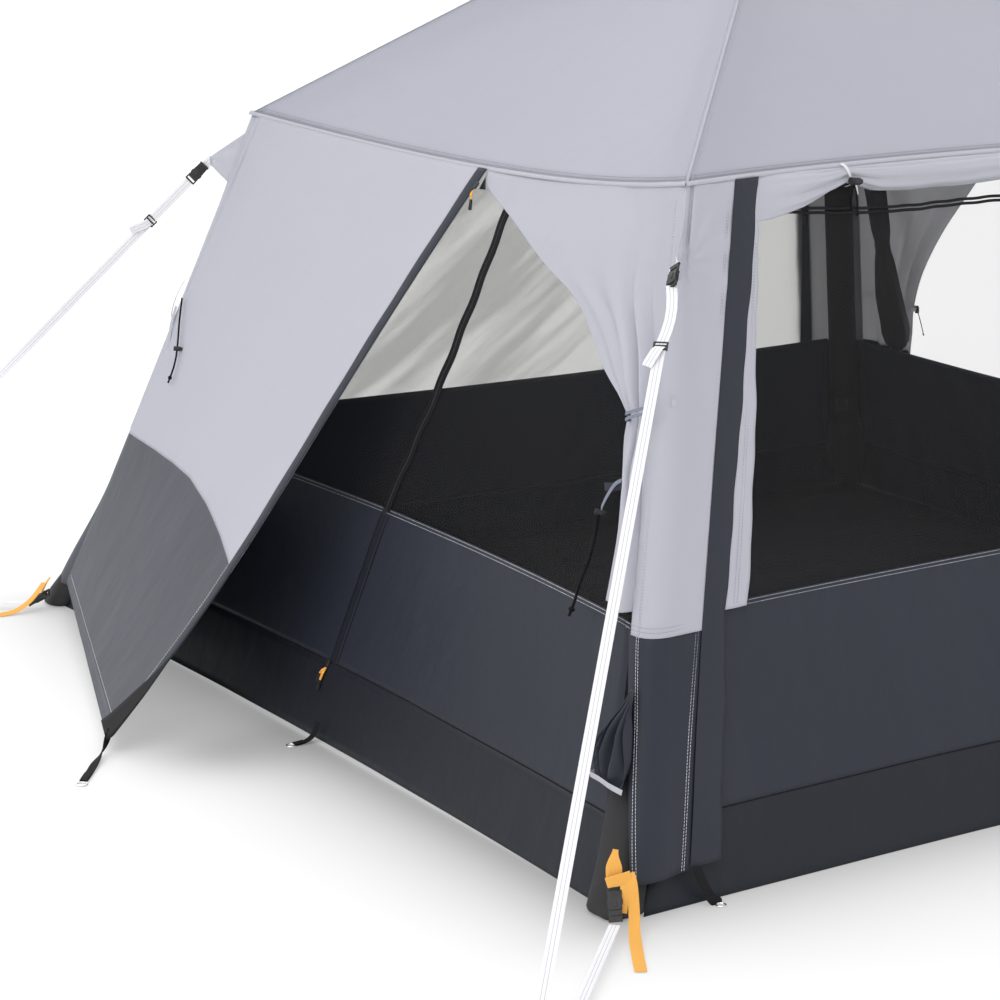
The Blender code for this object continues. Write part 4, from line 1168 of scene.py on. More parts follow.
@dataclass
class TiedDoor(Assembly):
    """The front left corner's light cover, in one piece with the left door half tied back to it."""

    right_reach: Table = ((0.0, 0.184), (0.4, 0.176), (0.6, 0.177), (1.0, 0.19))
    wing: float = 0.085
    top_z: float = 1.7155
    low_z: float = 0.638
    hem_z: float = 0.687
    tie_row: float = 0.5425
    edge: Table = (
        (0.0, 1.622), (-0.02, 1.585), (-0.095, 1.553), (-0.175, 1.527), (-0.285, 1.49), (-0.483, 1.421),
        (-0.708, 1.363), (-0.841, 1.304), (-0.99, 1.218), (-1.113, 1.167), (-1.195, 1.131),
    )
    below: Table = (
        (-1.195, 1.131), (-1.200, 1.08), (-1.248, 0.976), (-1.291, 0.859), (-1.307, 0.761), (-1.316, 0.687),
    )
    cover_columns: int = 36
    columns: int = 110
    rows: int = 150

    def free_edge(self, row: float) -> Vector:
        """Where the free edge is at a row, as distance along the face and height."""
        if row <= self.tie_row:
            known, share = self.edge, row / self.tie_row
        else:
            known, share = self.below, (row - self.tie_row) / (1 - self.tie_row)
        points = resampled([Vector((y, z, 0.0)) for y, z in known], 60)
        return on_line(points, share)

    def fold(self, row: float, column: float) -> float:
        """How far the gathered cloth stands out."""
        gap = row - self.tie_row
        if gap <= 0:
            near = math.exp(-((gap / 0.28) ** 2))
            close = math.exp(-((gap / 0.055) ** 2))
        else:
            near = math.exp(-((gap / 0.05) ** 2)) + 0.85 * smooth(gap / 0.12)
            close = math.exp(-((gap / 0.04) ** 2))
        lean = column + 0.05 * math.sin(row * 17)

        def swelling(middle: float, spread: float) -> float:
            """How strong a fold is here, by where it lies and how wide it is."""
            return math.exp(-(((lean - middle) / spread) ** 2))

        valley = -0.058 * swelling(0.25, 0.044) - 0.026 * swelling(0.08, 0.032)
        ridge = 0.026 * swelling(0.40, 0.10) + 0.020 * swelling(0.155, 0.04)
        ridge += 0.010 * swelling(0.72, 0.10) + 0.022 * swelling(0.27, 0.16)
        fine = 0.0045 * math.sin(2 * math.pi * (6.5 * column + 0.6 * math.sin(3 * column)))
        edge = smooth(column / 0.05)
        return (near * (valley + ridge) * (1 - 0.45 * close) + fine * close) * edge

    def build(self, cover: CornerCover) -> None:
        """Make the light sheet from the front's zip cover round the corner to the free edge."""
        grid = []
        for row in steps(self.rows):
            height = mix(self.top_z, self.low_z, row)
            share = height / SHAPE.eave_z
            right = table(self.right_reach, share)
            line = [cover.point(d, share, 0.004) for d in steps(self.cover_columns, right, -self.wing)]
            root_y = -(SHAPE.half(height) - self.wing)
            edge = self.free_edge(row)
            drape = mix(self.low_z, self.hem_z, smooth((row - 0.8) * 5)) - self.low_z
            for column in steps(self.columns)[1:]:
                y = mix(root_y, edge.x, column)
                level = mix(height, edge.y, column) + drape * smooth(column * 8) * (1 - column)
                early = max(1 - row / self.tie_row, 0.0) ** 2
                across = mix(self.wing - SHAPE.eave_half, 0.0, column)
                curve = SHAPE.eave(Face.LEFT, -across / SHAPE.eave_half).z
                straight = mix(SHAPE.eave(Face.LEFT, 1 - self.wing / SHAPE.eave_half).z, 1.63, column)
                level += (curve - straight) * early
                out = 0.004 + 0.010 * smooth(column * 3) * smooth(row * 6) + self.fold(row, column)
                place = SHAPE.wall_at(Face.LEFT, -y, level, out)
                place += Vector((-0.8, 0.0, 0.3)) * 0.0035 * swell(place, 3.0, 31.0) * smooth(column * 5)
                line.append(place)
            grid.append(list(reversed(line)))
        add_sheet("front_left_cover_upper", grid, self.finish.light, "light_fabric", "gathered",
                  ["front_left_pole_sleeve"], ["front_left_corner_cover", "left_door_curtain"])


@dataclass
class TiedFoot(Assembly):
    """The charcoal foot of the tied door half, gathered by a grey tape beside the leg."""

    columns: int = 60
    rows: int = 44
    spans: Sequence[tuple[float, float, float]] = (
        (0.520, 0.030, 0.050), (0.470, 0.030, 0.078), (0.425, 0.020, 0.112), (0.372, 0.012, 0.158),
        (0.345, 0.012, 0.166), (0.318, 0.018, 0.168), (0.302, 0.026, 0.166), (0.292, 0.028, 0.160),
    )

    def build(self) -> None:
        """Make the gathered sheet and its tape."""
        grid = []
        for row in steps(self.rows):
            z, near, far = on_line(self.spans, row)
            pinch = math.exp(-(((z - 0.298) / 0.045) ** 2))
            line = []
            for column in steps(self.columns):
                d = mix(near, far, column)
                half = SHAPE.half(z)
                wave = math.sin(2 * math.pi * (4.3 * column + 0.4 * math.sin(5 * column + 3 * row)))
                out = 0.012 + 0.020 * smooth(row * 3) * (1 - 0.55 * pinch) * (0.6 + wave)
                out += 0.014 * math.sin(math.pi * column) * smooth(row * 4)
                line.append(SHAPE.wall_at(Face.LEFT, half - d, z, out))
            grid.append(list(reversed(line)))
        add_sheet("left_door_foot", grid, self.finish.dark, "dark_fabric", "gathered",
                  ["front_left_pole_sleeve"])
        path = []
        for d, z, out in ((0.176, 0.298, 0.010), (0.172, 0.299, 0.034), (0.150, 0.303, 0.046),
                          (0.105, 0.306, 0.050), (0.060, 0.300, 0.044), (0.026, 0.291, 0.026)):
            path.append(SHAPE.wall_at(Face.LEFT, SHAPE.half(z) - d, z, out))
        ribbon("left_door_lower_tape", path, 30, (-0.1, 0.25, 0.96), (0.015, 0.0012),
               (self.finish.tape, "tie_webbing"), ["left_door_lower_tie"])


@dataclass
class ZipCover(Assembly):
    """A dark strip over the zip beside a corner cover, and the light door edge beyond it."""

    corner: Corner
    sign: int
    near: Table = ((0.05, 0.186), (0.37, 0.175), (0.6, 0.177), (1.0, 0.185))
    far: Table = (
        (0.05, 0.285), (0.30, 0.262), (0.39, 0.246), (0.6, 0.254), (1.0, 0.27),
    )
    light: Table = (
        (0.39, 0.322), (0.45, 0.323), (0.6, 0.317), (0.75, 0.300), (1.0, 0.275),
    )
    light_low: float = 0.392
    edged: bool = True

    def strip(self, name: str, low: float, high: float, near: Sequence, far: Sequence, out: float,
              bulge: float, finish: bpy.types.Material, slot: str) -> Grid:
        """Make one upright strip.

        Args:
            name: The piece's name.
            low: Its lowest share of the wall's height.
            high: Its highest share.
            near: Its near edge's distance from the corner by share.
            far: Its far edge's distance.
            out: How far it stands off the wall.
            bulge: How much further its middle stands off.
            finish: Its material.
            slot: The record's material slot.

        Returns:
            Its grid of points.
        """
        grid = []
        for share in steps(120, high, low):
            wave = 0.0022 * math.sin(share * 31 + self.corner) + 0.0015 * math.sin(share * 77)
            row = []
            for across in steps(8):
                d = mix(table(near, share) - 0.004, table(far, share) + wave, across)
                lift = out + bulge * math.sin(math.pi * across)
                lift += 0.002 * swell(Vector((d * 4, share * 3.4, self.corner * 1.0)), 3.0, 4.0)
                row.append(SHAPE.around(self.corner, d * self.sign, share, lift))
            grid.append(row if self.sign > 0 else list(reversed(row)))
        add_sheet(name, grid, finish, slot, "stretched", ["air_frame"])
        return grid

    def build(self) -> None:
        """Make the strip and the light edge."""
        name = self.corner.name.lower()
        if self.edged:
            self.strip(f"{name}_door_edge", self.light_low, 0.985, self.far, self.light, 0.004, 0.003,
                       self.finish.light, "light_fabric")
        self.strip(f"{name}_zip_cover", 0.055, 0.997, self.near, self.far, 0.007, 0.005,
                   self.finish.strip, "dark_fabric")


@dataclass
class FrontRoll(Assembly):
    """The front cover rolled up under the eave, pinched by toggled ties."""

    reach: float = 0.985
    ties: tuple[float, ...] = (-0.605, 0.605)
    halves: Table = (
        (0.0, 0.037), (0.21, 0.040), (0.365, 0.039), (0.50, 0.035), (0.605, 0.020), (0.65, 0.028),
        (0.785, 0.043), (0.90, 0.053), (0.985, 0.056),
    )
    depths: Table = (
        (0.0, 0.034), (0.50, 0.034), (0.605, 0.017), (0.70, 0.030), (0.80, 0.027), (0.90, 0.013),
        (0.945, 0.005), (0.985, 0.003),
    )
    creases: Sequence[tuple[int, float]] = ((5, 0.16), (9, 0.13), (14, 0.07))
    columns: int = 250
    around: int = 72
    lean: float = 0.322
    pleat: float = 0.007

    def point(self, x: float, turn: float) -> Vector:
        """A point of the roll's skin, x along the eave and turn round it."""
        u = x / SHAPE.eave_half
        eave = SHAPE.eave(Face.FRONT, u)
        pinch = sum(math.exp(-(((x - t) / 0.024) ** 2)) for t in self.ties)
        near = sum(math.exp(-(((x - t) / 0.17) ** 2)) for t in self.ties)
        bulk = 1 + 0.10 * noise.noise(Vector((x * 4.0, 2.0, 0.0))) * (1 - min(pinch, 1.0))
        tall, deep = table(self.halves, abs(x)) * bulk, table(self.depths, abs(x)) * bulk
        drop = tall + 0.008
        crease = 0.0
        shifts = [noise.noise(Vector((x * 1.6, k * 5.0, 1.0))) * 1.6 for k in range(len(self.creases))]
        for k, ((count, size), shift) in enumerate(zip(self.creases, shifts)):
            crease += size * (abs(math.sin(count * turn / 2 + shift + k)) - 0.62) * mix(0.45, 1.25, near)
        crease += 0.04 * noise.noise(Vector((x * 9.0, math.cos(turn) * 3, math.sin(turn) * 3)))
        size = 1 + crease
        centre = Vector((x, eave.y - 0.010 * min(deep / 0.02, 1.0), eave.z - drop))
        place = centre + Vector((0.0, -deep * size * math.cos(turn), tall * size * math.sin(turn)))
        place.y -= (eave.z - place.z) * self.lean * smooth((abs(x) - 0.66) / 0.16)
        pleat = abs(math.sin(3.5 * turn + shifts[-1])) ** 0.7 - 0.7
        place.y -= self.pleat * pleat * math.cos(turn / 2) ** 2 * (0.5 + near) * smooth(deep / 0.02)
        return place

    def build(self) -> None:
        """Make the roll."""
        turns = [2 * math.pi * k / self.around for k in range(self.around)]
        rings = [[self.point(x, t) for t in turns] for x in steps(self.columns, -self.reach, self.reach)]
        mesh = closed_rings("front_cover_roll", rings)
        made = add_piece("rolled_front_cover", mesh, self.finish.light, "light_fabric",
                         ["front_cover_roll"], angle=60.0)


@dataclass
class SideDoor(Assembly):
    """A door half of the right face, drawn aside to a leg and seen from outside and within."""

    name: str
    node: str
    mirrored: bool
    spans: Sequence[tuple[float, float, float, float]]
    columns: int = 70
    rows: int = 70
    band: float = 0.655

    def point(self, row: float, column: float) -> Vector:
        """A point of the half, down from the eave and out from the leg."""
        z, near, far, depth = on_line(self.spans, row)
        wave = math.sin(2 * math.pi * (4.5 * column + 0.35 * math.sin(6 * column + 2.5 * row)))
        out = 0.010 + depth * (0.5 + 0.5 * wave) * smooth(column * 6)
        d = mix(near, far, column)
        if row < 1e-6:
            z = SHAPE.eave(Face.RIGHT, 1 - d / SHAPE.eave_half).z - 0.004
        across = SHAPE.half(z) - d
        return SHAPE.wall_at(Face.RIGHT, -across if self.mirrored else across, z, out)

    def build(self) -> None:
        """Make the light and the charcoal part."""
        last = len(self.spans) - 1
        split = next(i for i, s in enumerate(self.spans) if s[0] <= self.band) / last
        for part, low, high, finish, slot, nodes in (
            ("upper", 0.0, split, self.finish.light, "light_fabric", [self.node]),
            ("lower", split - 0.004, 1.0, self.finish.dark, "dark_fabric", []),
        ):
            grid = []
            for row in steps(self.rows, low, high):
                line = [self.point(row, c) for c in steps(self.columns)]
                grid.append(line if self.mirrored else list(reversed(line)))
            add_sheet(f"{self.name}_{part}", grid, finish, slot, "gathered", ["air_frame"], nodes)


@dataclass
class Straps(Assembly):
    """Webbing from an eave to a ring on the ground and back to the leg's foot."""

    corner: str
    route: Sequence[Place]
    slider: Place
    upright: bool
    bow: float = 0.0
    width: float = 0.028
    thickness: float = 0.0016
    twist_start: float = 0.30
    twist_end: float = 0.75

    def sides(self, path: Sequence[Vector], flat: Vector) -> list[Vector]:
        """The width's direction at each point: flat, or turned upright near the eave."""
        run, found = 0.0, []
        upper = (path[0] - Vector(self.route[1])).length
        ahead = (Vector(self.route[1]) - Vector(self.route[0])).normalized()
        raised = flat.cross(ahead).normalized()
        for i, point in enumerate(path):
            run += (point - path[i - 1]).length if i else 0.0
            share = smooth((run / upper - self.twist_start) / (self.twist_end - self.twist_start))
            angle = (1 - share) * math.pi / 2 * 0.92 if self.upright else 0.0
            found.append(flat * math.cos(angle) + raised * math.sin(angle))
        return found

    def build(self) -> None:
        """Make the strap as one band, with its slider on it."""
        known = [Vector(p) for p in self.route]
        path: list[Vector] = []
        for a, b in zip(known, known[1:]):
            count = 60 if (b - a).length > 0.3 else 1
            path += [a.lerp(b, k / count) for k in range(count)]
        path.append(known[-1])
        ground = (known[1] - known[0]).normalized()
        back = (known[-2] - known[-1]).normalized()
        away = Vector((ground.x + back.x, ground.y + back.y, 0.0)).normalized()
        side = Vector((-away.y, away.x, 0.0))
        reach = (Vector(self.slider) - known[0]).length
        for point in path:
            share = (point - known[0]).length / reach
            if share < 1 and point.z > 0.3:
                point += side * self.bow * math.sin(math.pi * share)
        turns = self.sides(path, side)
        mesh = band(f"{self.corner}_webbing", path, turns, self.width, self.thickness)
        made = add_piece(f"{self.corner}_webbing", mesh, self.finish.strap, "webbing",
                         [f"{self.corner}_storm_strap"])
        tuple(path[0])
        length_of(path)
        [tuple(p) for p in path]
        self.slide()

    def slide(self) -> bpy.types.Object:
        """Make the slider, its face square to the webbing, and the tail that hangs from it."""
        first, ring = Vector(self.route[0]), Vector(self.route[1])
        ahead = (ring - first).normalized()
        away = Vector((ahead.x, ahead.y, 0.0)).normalized()
        side = Vector((-away.y, away.x, 0.0))
        face = side if self.upright else side.cross(ahead)
        if face.dot(Vector((-0.55, -0.80, 0.2))) < 0:
            face = -face
        made = Slider(self.finish, f"{self.corner}_strap_slider", self.slider, ahead, face).build()
        start = Vector(self.slider) + ahead * 0.004 + face * 0.003
        across = side if not self.upright else side.cross(ahead)
        drift = -across if (-across).dot(Vector((-0.85, 0.53, 0.0))) > 0 else across
        tail = [start, start + ahead * 0.016 + face * 0.009 + drift * 0.004,
                start + ahead * 0.040 + face * 0.007 + drift * 0.014,
                start + ahead * 0.066 + face * 0.002 + drift * 0.024]
        ribbon(f"{self.corner}_strap_tail", tail, 14, across, (self.width * 0.94, self.thickness),
               (self.finish.strap, "webbing"), (), f"{self.corner}_strap_slider")
        return made


@dataclass
class Sleeves(Assembly):
    """The dark sleeves of the air legs, the air frame inside them, and the foot boots."""

    leg: Sequence[Place] = (
        (-1.7064, -1.7024, 0.032), (-1.626, -1.622, 0.200), (-1.544, -1.542, 0.396),
        (-1.4205, -1.4205, 0.777), (-1.3003, -1.3003, 1.157),
        (-1.1821, -1.1821, 1.5366), (-1.1653, -1.1653, 1.5833), (-1.1455, -1.1455, 1.6258),
        (-1.1225, -1.1225, 1.664), (-1.0964, -1.0964, 1.6981), (-1.0672, -1.0672, 1.7279),
        (-1.0349, -1.0349, 1.7535), (-0.7199, -0.7199, 1.9724), (-0.4044, -0.4044, 2.1914),
        (-0.13, -0.13, 2.3818),
    )
    radius: float = 0.0530
    film_radius: float = 0.0475
    rib_drop: float = 0.016
    bend_z: float = 1.66
    crown_z: float = 2.437
    low_drop: float = 0.030
    rows: int = 150
    sides: int = 28
    boot_rows: int = 46
    near_back: float = 0.047
    boot_top: float = 0.300
    boot_lift: float = 0.0015
    boot_widths: Table = (
        (0.000, 0.055), (0.006, 0.066), (0.014, 0.0705), (0.055, 0.0715), (0.12, 0.068), (0.20, 0.0655),
        (0.28, 0.0640), (0.300, 0.0625),
    )

    def stand(self, corner: Corner, point: Sequence[float]) -> Vector:
        """A leg's point at its corner; the near leg's foot stands a little further back."""
        place = turned(point, corner)
        if corner == Corner.FRONT_LEFT:
            place.y += self.near_back * (1 - smooth(place.z / 0.45))
        return place

    def path(self, corner: Corner) -> list[Vector]:
        """The middle of one leg and its roof rib, from the ground to the crown."""
        points = []
        for x, y, z in self.leg:
            over = smooth((z - self.bend_z) / 0.12)
            drop = self.rib_drop * over
            if corner == Corner.REAR_LEFT:
                drop += self.low_drop * over * (1 - smooth((z - 1.75) / 0.5) * 0.6)
            points.append(self.stand(corner, (x, y, z - drop)))
        return points

    def sleeve(self, corner: Corner) -> None:
        """Make one leg's sleeve, creased at its bend."""
        name = f"{corner.name.lower()}_pole_sleeve"
        path = resampled(self.path(corner), self.rows)

        def section(share: float) -> list[tuple[float, float]]:
            """The sleeve's ring at a share of its length."""
            point = on_line(path, share)
            bent = math.exp(-(((point.z - self.bend_z) / 0.09) ** 2))
            ring = []
            for k in range(self.sides):
                t = 2 * math.pi * k / self.sides
                crease = 0.05 * bent * math.sin(share * 420 + 2 * math.sin(t)) * max(math.cos(t), -0.2)
                soft = 0.012 * swell(Vector((math.cos(t), math.sin(t), share * 14)), 1.5, 6.0 + corner)
                size = self.radius * (1 + crease + soft)
                ring.append((size * math.cos(t), size * math.sin(t)))
            return ring

        inward = turned((0.7, 0.7, 0.0), corner)
        uvs = [k / self.sides for k in range(self.sides)]
        mesh = swept(name, path, section, frames(path, inward), uvs)
        made = add_piece(f"{name}_cloth", mesh, self.finish.inside, "dark_fabric", [name])

    def boot(self, corner: Corner) -> None:
        """Make one foot's boot: a flared sock with a seam round it, crumpled where it stands."""
        name = f"{corner.name.lower()}_foot_boot"
        foot, above = (self.stand(corner, p) for p in self.leg[:2])
        slope = (above - foot) / (above.z - foot.z)
        rings: list[list[Vector]] = []
        side = turned((1.0, -1.0, 0.0), corner).normalized()
        front = turned((-1.0, -1.0, 0.0), corner).normalized()
        heights = [self.boot_top * (i / self.boot_rows) ** 1.25 for i in range(self.boot_rows + 1)]
        for z in heights:
            middle = foot + slope * (z - foot.z)
            size = table(self.boot_widths, z)
            low = 1 - smooth(z / 0.10)
            ring = []
            for k in range(self.sides * 2):
                t = math.pi * k / self.sides
                square = 1 + 0.045 * math.cos(4 * t) * (0.3 + low)
                fold = 0.030 * low * math.sin(5 * t + 1.3 * corner + z * 30)
                drape = 0.028 * math.sin(3 * t + z * 24 + corner) * (1 - low)
                hem = -0.018 * math.exp(-(((z - 0.034) / 0.0035) ** 2))
                r = size * (square + fold + drape + hem)
                ring.append(middle + side * (r * math.cos(t)) + front * (r * math.sin(t)))
            for p in ring:
                p.z = z + self.boot_lift
            rings.append(ring)
        mesh = closed_rings(name, rings)
        made = add_piece(f"{name}_cloth", mesh, self.finish.boot, "dark_fabric", [name], angle=70.0)

    def film(self) -> None:
        """Make the air frame: two arches of film tube that meet in a crown."""
        joined = bmesh.new()
        for first, second in ((Corner.FRONT_LEFT, Corner.REAR_RIGHT), (Corner.FRONT_RIGHT, Corner.REAR_LEFT)):
            up, down = self.path(first), self.path(second)
            middle = UP * self.crown_z
            path = resampled(up + [middle] + list(reversed(down)), self.rows * 2)
            absorb(joined, tube("arch", path, self.film_radius, 20, turned((0.7, 0.7, 0.0), first)))
        mesh = baked(joined, "air_frame")
        made = add_piece("air_frame_film", mesh, self.finish.film, "bladder_film", ["air_frame"])

    def build(self) -> None:
        """Make the air frame and each leg's sleeve and boot."""
        self.film()
        for corner in Corner:
            self.sleeve(corner)
            self.boot(corner)


@dataclass
class Ground(Assembly):
    """The groundsheet, slightly rucked between its pegged edges."""

    half: float = 1.678
    rim: float = 0.018
    columns: int = 84
    ruck: float = 0.004
    lift: float = 0.0045

    def build(self) -> None:
        """Make the sheet."""

        def point(y: float, x: float) -> Vector:
            """A point of the groundsheet, flat near its edge but for the raised rim."""
            calm = smooth((self.half - abs(x)) * 6) * smooth((self.half - abs(y)) * 6)
            place = Vector((x, y, 0.0))
            waves = 1 + swell(place, 2.4, 8.0) + 0.5 * swell(place, 7.0, 3.0)
            place.z = self.lift + calm * self.ruck * waves / 2
            edge = max(abs(x), abs(y)) / self.half
            place.z += self.rim * smooth((edge - 0.982) / 0.018)
            return place

        rows = steps(self.columns, self.half, -self.half)
        grid = grid_of(rows, steps(self.columns, -self.half, self.half), point)
        add_sheet("groundsheet_cloth", grid, self.finish.inside, "dark_fabric", "laid", [], ["groundsheet"],
                  0.0008)


class Moulding:
    """A hard part put together from bevelled shapes in a frame of its own."""

    def __init__(self, origin: Sequence[float], along: Sequence[float], face: Sequence[float]) -> None:
        y = Vector(along).normalized()
        wish = Vector(face)
        z = (wish - y * y.dot(wish)).normalized()
        x = y.cross(z)
        self.frame = Matrix.Translation(Vector(origin)) @ Matrix((x, y, z)).transposed().to_4x4()
        self.bm = bmesh.new()

    def outline(self, points: Table, low: float, high: float, bevel: float) -> None:
        """Add a flat shape of some thickness.

        Args:
            points: Its outline, across and along, anticlockwise.
            low: Its lower face.
            high: Its upper face.
            bevel: The radius of its edges.
        """
        part = bmesh.new()
        lower = [part.verts.new((x, y, low)) for x, y in points]
        upper = [part.verts.new((x, y, high)) for x, y in points]
        part.faces.new(list(reversed(lower)))
        part.faces.new(upper)
        for i in range(len(points)):
            j = (i + 1) % len(points)
            part.faces.new((lower[i], lower[j], upper[j], upper[i]))
        bmesh.ops.bevel(part, geom=list(part.edges), offset=bevel, segments=2, profile=0.6,
                        affect="EDGES", clamp_overlap=True)
        bmesh.ops.recalc_face_normals(part, faces=part.faces)
        self.take(part)

    def block(self, middle: Place, size: Place, bevel: float) -> None:
        """Add a bevelled block by its middle and size."""
        (x, y, z), (w, d, h) = middle, size
        w, d = w / 2, d / 2
        corners = [(x - w, y - d), (x + w, y - d), (x + w, y + d), (x - w, y + d)]
        self.outline(corners, z - h / 2, z + h / 2, bevel)

    def bar(self, points: Sequence[Place], radius: float, sides: int = 10) -> None:
        """Add a round bar along points."""
        absorb(self.bm, tube("bar", [Vector(p) for p in points], radius, sides))

    def take(self, part: bmesh.types.BMesh) -> None:
        """Add another mesh, given in this part's own frame."""
        absorb(self.bm, baked(part, "shape"))

    def mesh(self, name: str) -> bpy.types.Mesh:
        """The finished mesh, at its place on the tent."""
        self.bm.transform(self.frame)
        return baked(self.bm, name)


@dataclass
class Buckle(Assembly):
    """A closed side-release buckle: socket, plug with its two prongs, and webbing bars."""

    node: str
    origin: Sequence[float]
    along: Sequence[float]
    face: Sequence[float]
    length: float = 0.072
    width: float = 0.037
    thickness: float = 0.011
    plug: Table = ((0.86, -1.0), (0.90, -0.36), (0.62, -0.16))
    prong: Table = (
        (0.52, -0.25), (0.80, -0.22), (1.02, -0.02), (1.06, 0.16), (0.94, 0.34), (0.66, 0.30),
    )
    waist: Table = (
        (0.55, -0.38), (0.96, -0.30), (0.86, -0.05), (0.80, 0.18), (0.92, 0.36), (0.98, 0.55), (0.90, 0.70),
    )
    tongue: Table = ((0.30, -0.22), (0.22, 0.30))

    def build(self) -> None:
        """Make the buckle, its plug first along its length."""
        made = Moulding(self.origin, self.along, self.face)
        w, h, half = self.width / 2, self.thickness / 2, self.length / 2

        def outline(right: Table, turn: int) -> list[tuple[float, float]]:
            """A symmetric outline from shares of its right half, begun a turn of points earlier."""
            points = [(w * x, half * y) for x, y in right]
            points += [(-x, y) for x, y in reversed(points)]
            return points[-turn:] + points[:-turn]

        made.outline(outline(self.plug, 1), -h * 0.55, h * 0.55, 0.0012)
        made.block((0.0, -half * 0.97, 0.0), (w * 1.9, 0.0055, h * 1.25), 0.0016)
        made.block((0.0, -half * 0.66, h * 0.5), (w * 1.30, 0.0045, h * 0.9), 0.0013)
        for side in (-1, 1):
            prong = [(side * w * x, half * y) for x, y in self.prong]
            made.outline(prong if side > 0 else list(reversed(prong)), -h * 0.5, h * 0.5, 0.0012)
        waist = outline(self.waist, 2)
        made.outline(waist, h * 0.35, h, 0.0014)
        made.outline(waist, -h, -h * 0.35, 0.0014)
        made.block((0.0, half * 0.45, 0.0), (w * 1.7, half * 0.5, h * 1.5), 0.0014)
        made.outline(outline(self.tongue, 1), h * 0.9, h * 1.22, 0.0010)
        for side in (-1, 1):
            made.block((side * w * 0.86, half * 0.84, 0.0), (w * 0.24, half * 0.40, h * 1.3), 0.0012)
        made.block((0.0, half * 0.97, 0.0), (w * 1.9, 0.0052, h * 1.3), 0.0015)
        add_piece(f"{self.node}_shell", made.mesh(self.node), self.finish.plastic, "black_plastic",
                  [self.node], angle=35.0)


@dataclass
class Slider(Assembly):
    """A ladder slider that holds the length of a strap."""

    node: str
    origin: Sequence[float]
    along: Sequence[float]
    face: Sequence[float]
    width: float = 0.038
    length: float = 0.027

    def build(self) -> bpy.types.Object:
        """Make the slider's frame and its bars."""
        made = Moulding(self.origin, self.along, self.face)
        w, half = self.width / 2, self.length / 2
        for side in (-1, 1):
            made.block((side * (w - 0.0022), 0.0, 0.0), (0.0044, self.length, 0.0050), 0.0014)
        for place, size, lift in ((-1.0, 0.0048, 0.0), (0.05, 0.0052, 0.0014), (1.0, 0.0062, 0.0022)):
            made.block((0.0, place * (half - size / 2), lift), (self.width - 0.002, size, 0.0044), 0.0013)
        for k in range(5):
            x = (k - 2) * self.width * 0.17
            made.block((x, half - 0.003, 0.0046), (0.0016, 0.005, 0.0012), 0.0004)
        return add_piece(f"{self.node}_ladder", made.mesh(self.node), self.finish.plastic, "black_plastic",
                         [self.node], self.node, 35.0)


@dataclass
class Wall(Assembly):
    """One face's fixed wall: a charcoal lower part with a sewn-on skirt, and mesh above it."""

    face: Face
    top_z: float
    seam_z: float = 0.205
    reach: float = 0.93
    depth: float = 0.012
    low_reach: float = 0.036
    screened: bool = True
    columns: int = 70

    def point(self, u: float, z: float, out: float) -> Vector:
        """A point of the wall at a height, with slack between its edges."""
        u *= 1 + self.low_reach * (1 - smooth(z / 0.30))
        top = SHAPE.eave(self.face, u).z
        base = SHAPE.wall(self.face, u, z / top, out - self.depth)
        slack = (1 - u * u) * swell(base, 2.3, 5.0 + self.face)
        return base + turned((0.0, -0.004 * slack, 0.0), self.face)

    def rows(self, low: float, high: float, count: int, out: float = 0.0) -> Grid:
        """Rows of the wall from high to low."""
        return grid_of(steps(count, high, low), steps(self.columns, -self.reach, self.reach),
                       lambda z, u: self.point(u, z, out))

    def build(self) -> None:
        """Make the skirt, the lower wall and the screen."""
        name = self.face.name.lower()
        skirt = self.rows(0.001, self.seam_z, 10, 0.002)
        add_sheet(f"{name}_skirt", skirt, self.finish.skirt, "dark_fabric", "stretched", ["groundsheet"])
        lower = self.rows(self.seam_z - 0.004, self.top_z, 22)
        add_sheet(f"{name}_lower_panel", lower, self.finish.dark, "dark_fabric", "stretched",
                  ["groundsheet"], [f"{name}_lower_wall"])
        if self.screened:
            def screen(share: float, u: float) -> Vector:
                """A point of the screen, by its share of the height between wall and eave."""
                return self.point(u, mix(self.top_z, SHAPE.eave(self.face, u).z, share), 0.0)

            grid = grid_of(steps(26, 0.988, 0.0), steps(self.columns, -self.reach, self.reach), screen)
            net = self.finish.rear_net if self.face == Face.REAR else self.finish.net
            add_sheet(f"{name}_mesh_panel", grid, net, "mesh_fabric", "stretched",
                      ["air_frame"], [f"{name}_screen"], 0.0004)


@dataclass
class RearCover(Assembly):
    """The rear outer cover, let down over the rear wall."""

    reach: float = 0.84

    def build(self) -> None:
        """Make its light panel."""

        def point(share: float, u: float) -> Vector:
            """A point of the rear cover with its folds."""
            base = SHAPE.wall(Face.REAR, u, share, -0.004)
            slant = math.sin((base.x * 0.6 + base.z) * 11 + 3 * swell(base, 1.2, 5.0))
            base.y += 0.005 * swell(base, 2.0, 11.0) + 0.0022 * slant * (0.5 + swell(base, 1.5, 2.0))
            return base

        grid = grid_of(steps(50, 0.996, 0.052), steps(60, -self.reach, self.reach), point)
        add_sheet("rear_cover_panel", grid, self.finish.rear, "light_fabric", "hung", ["air_frame"],
                  ["rear_cover"])


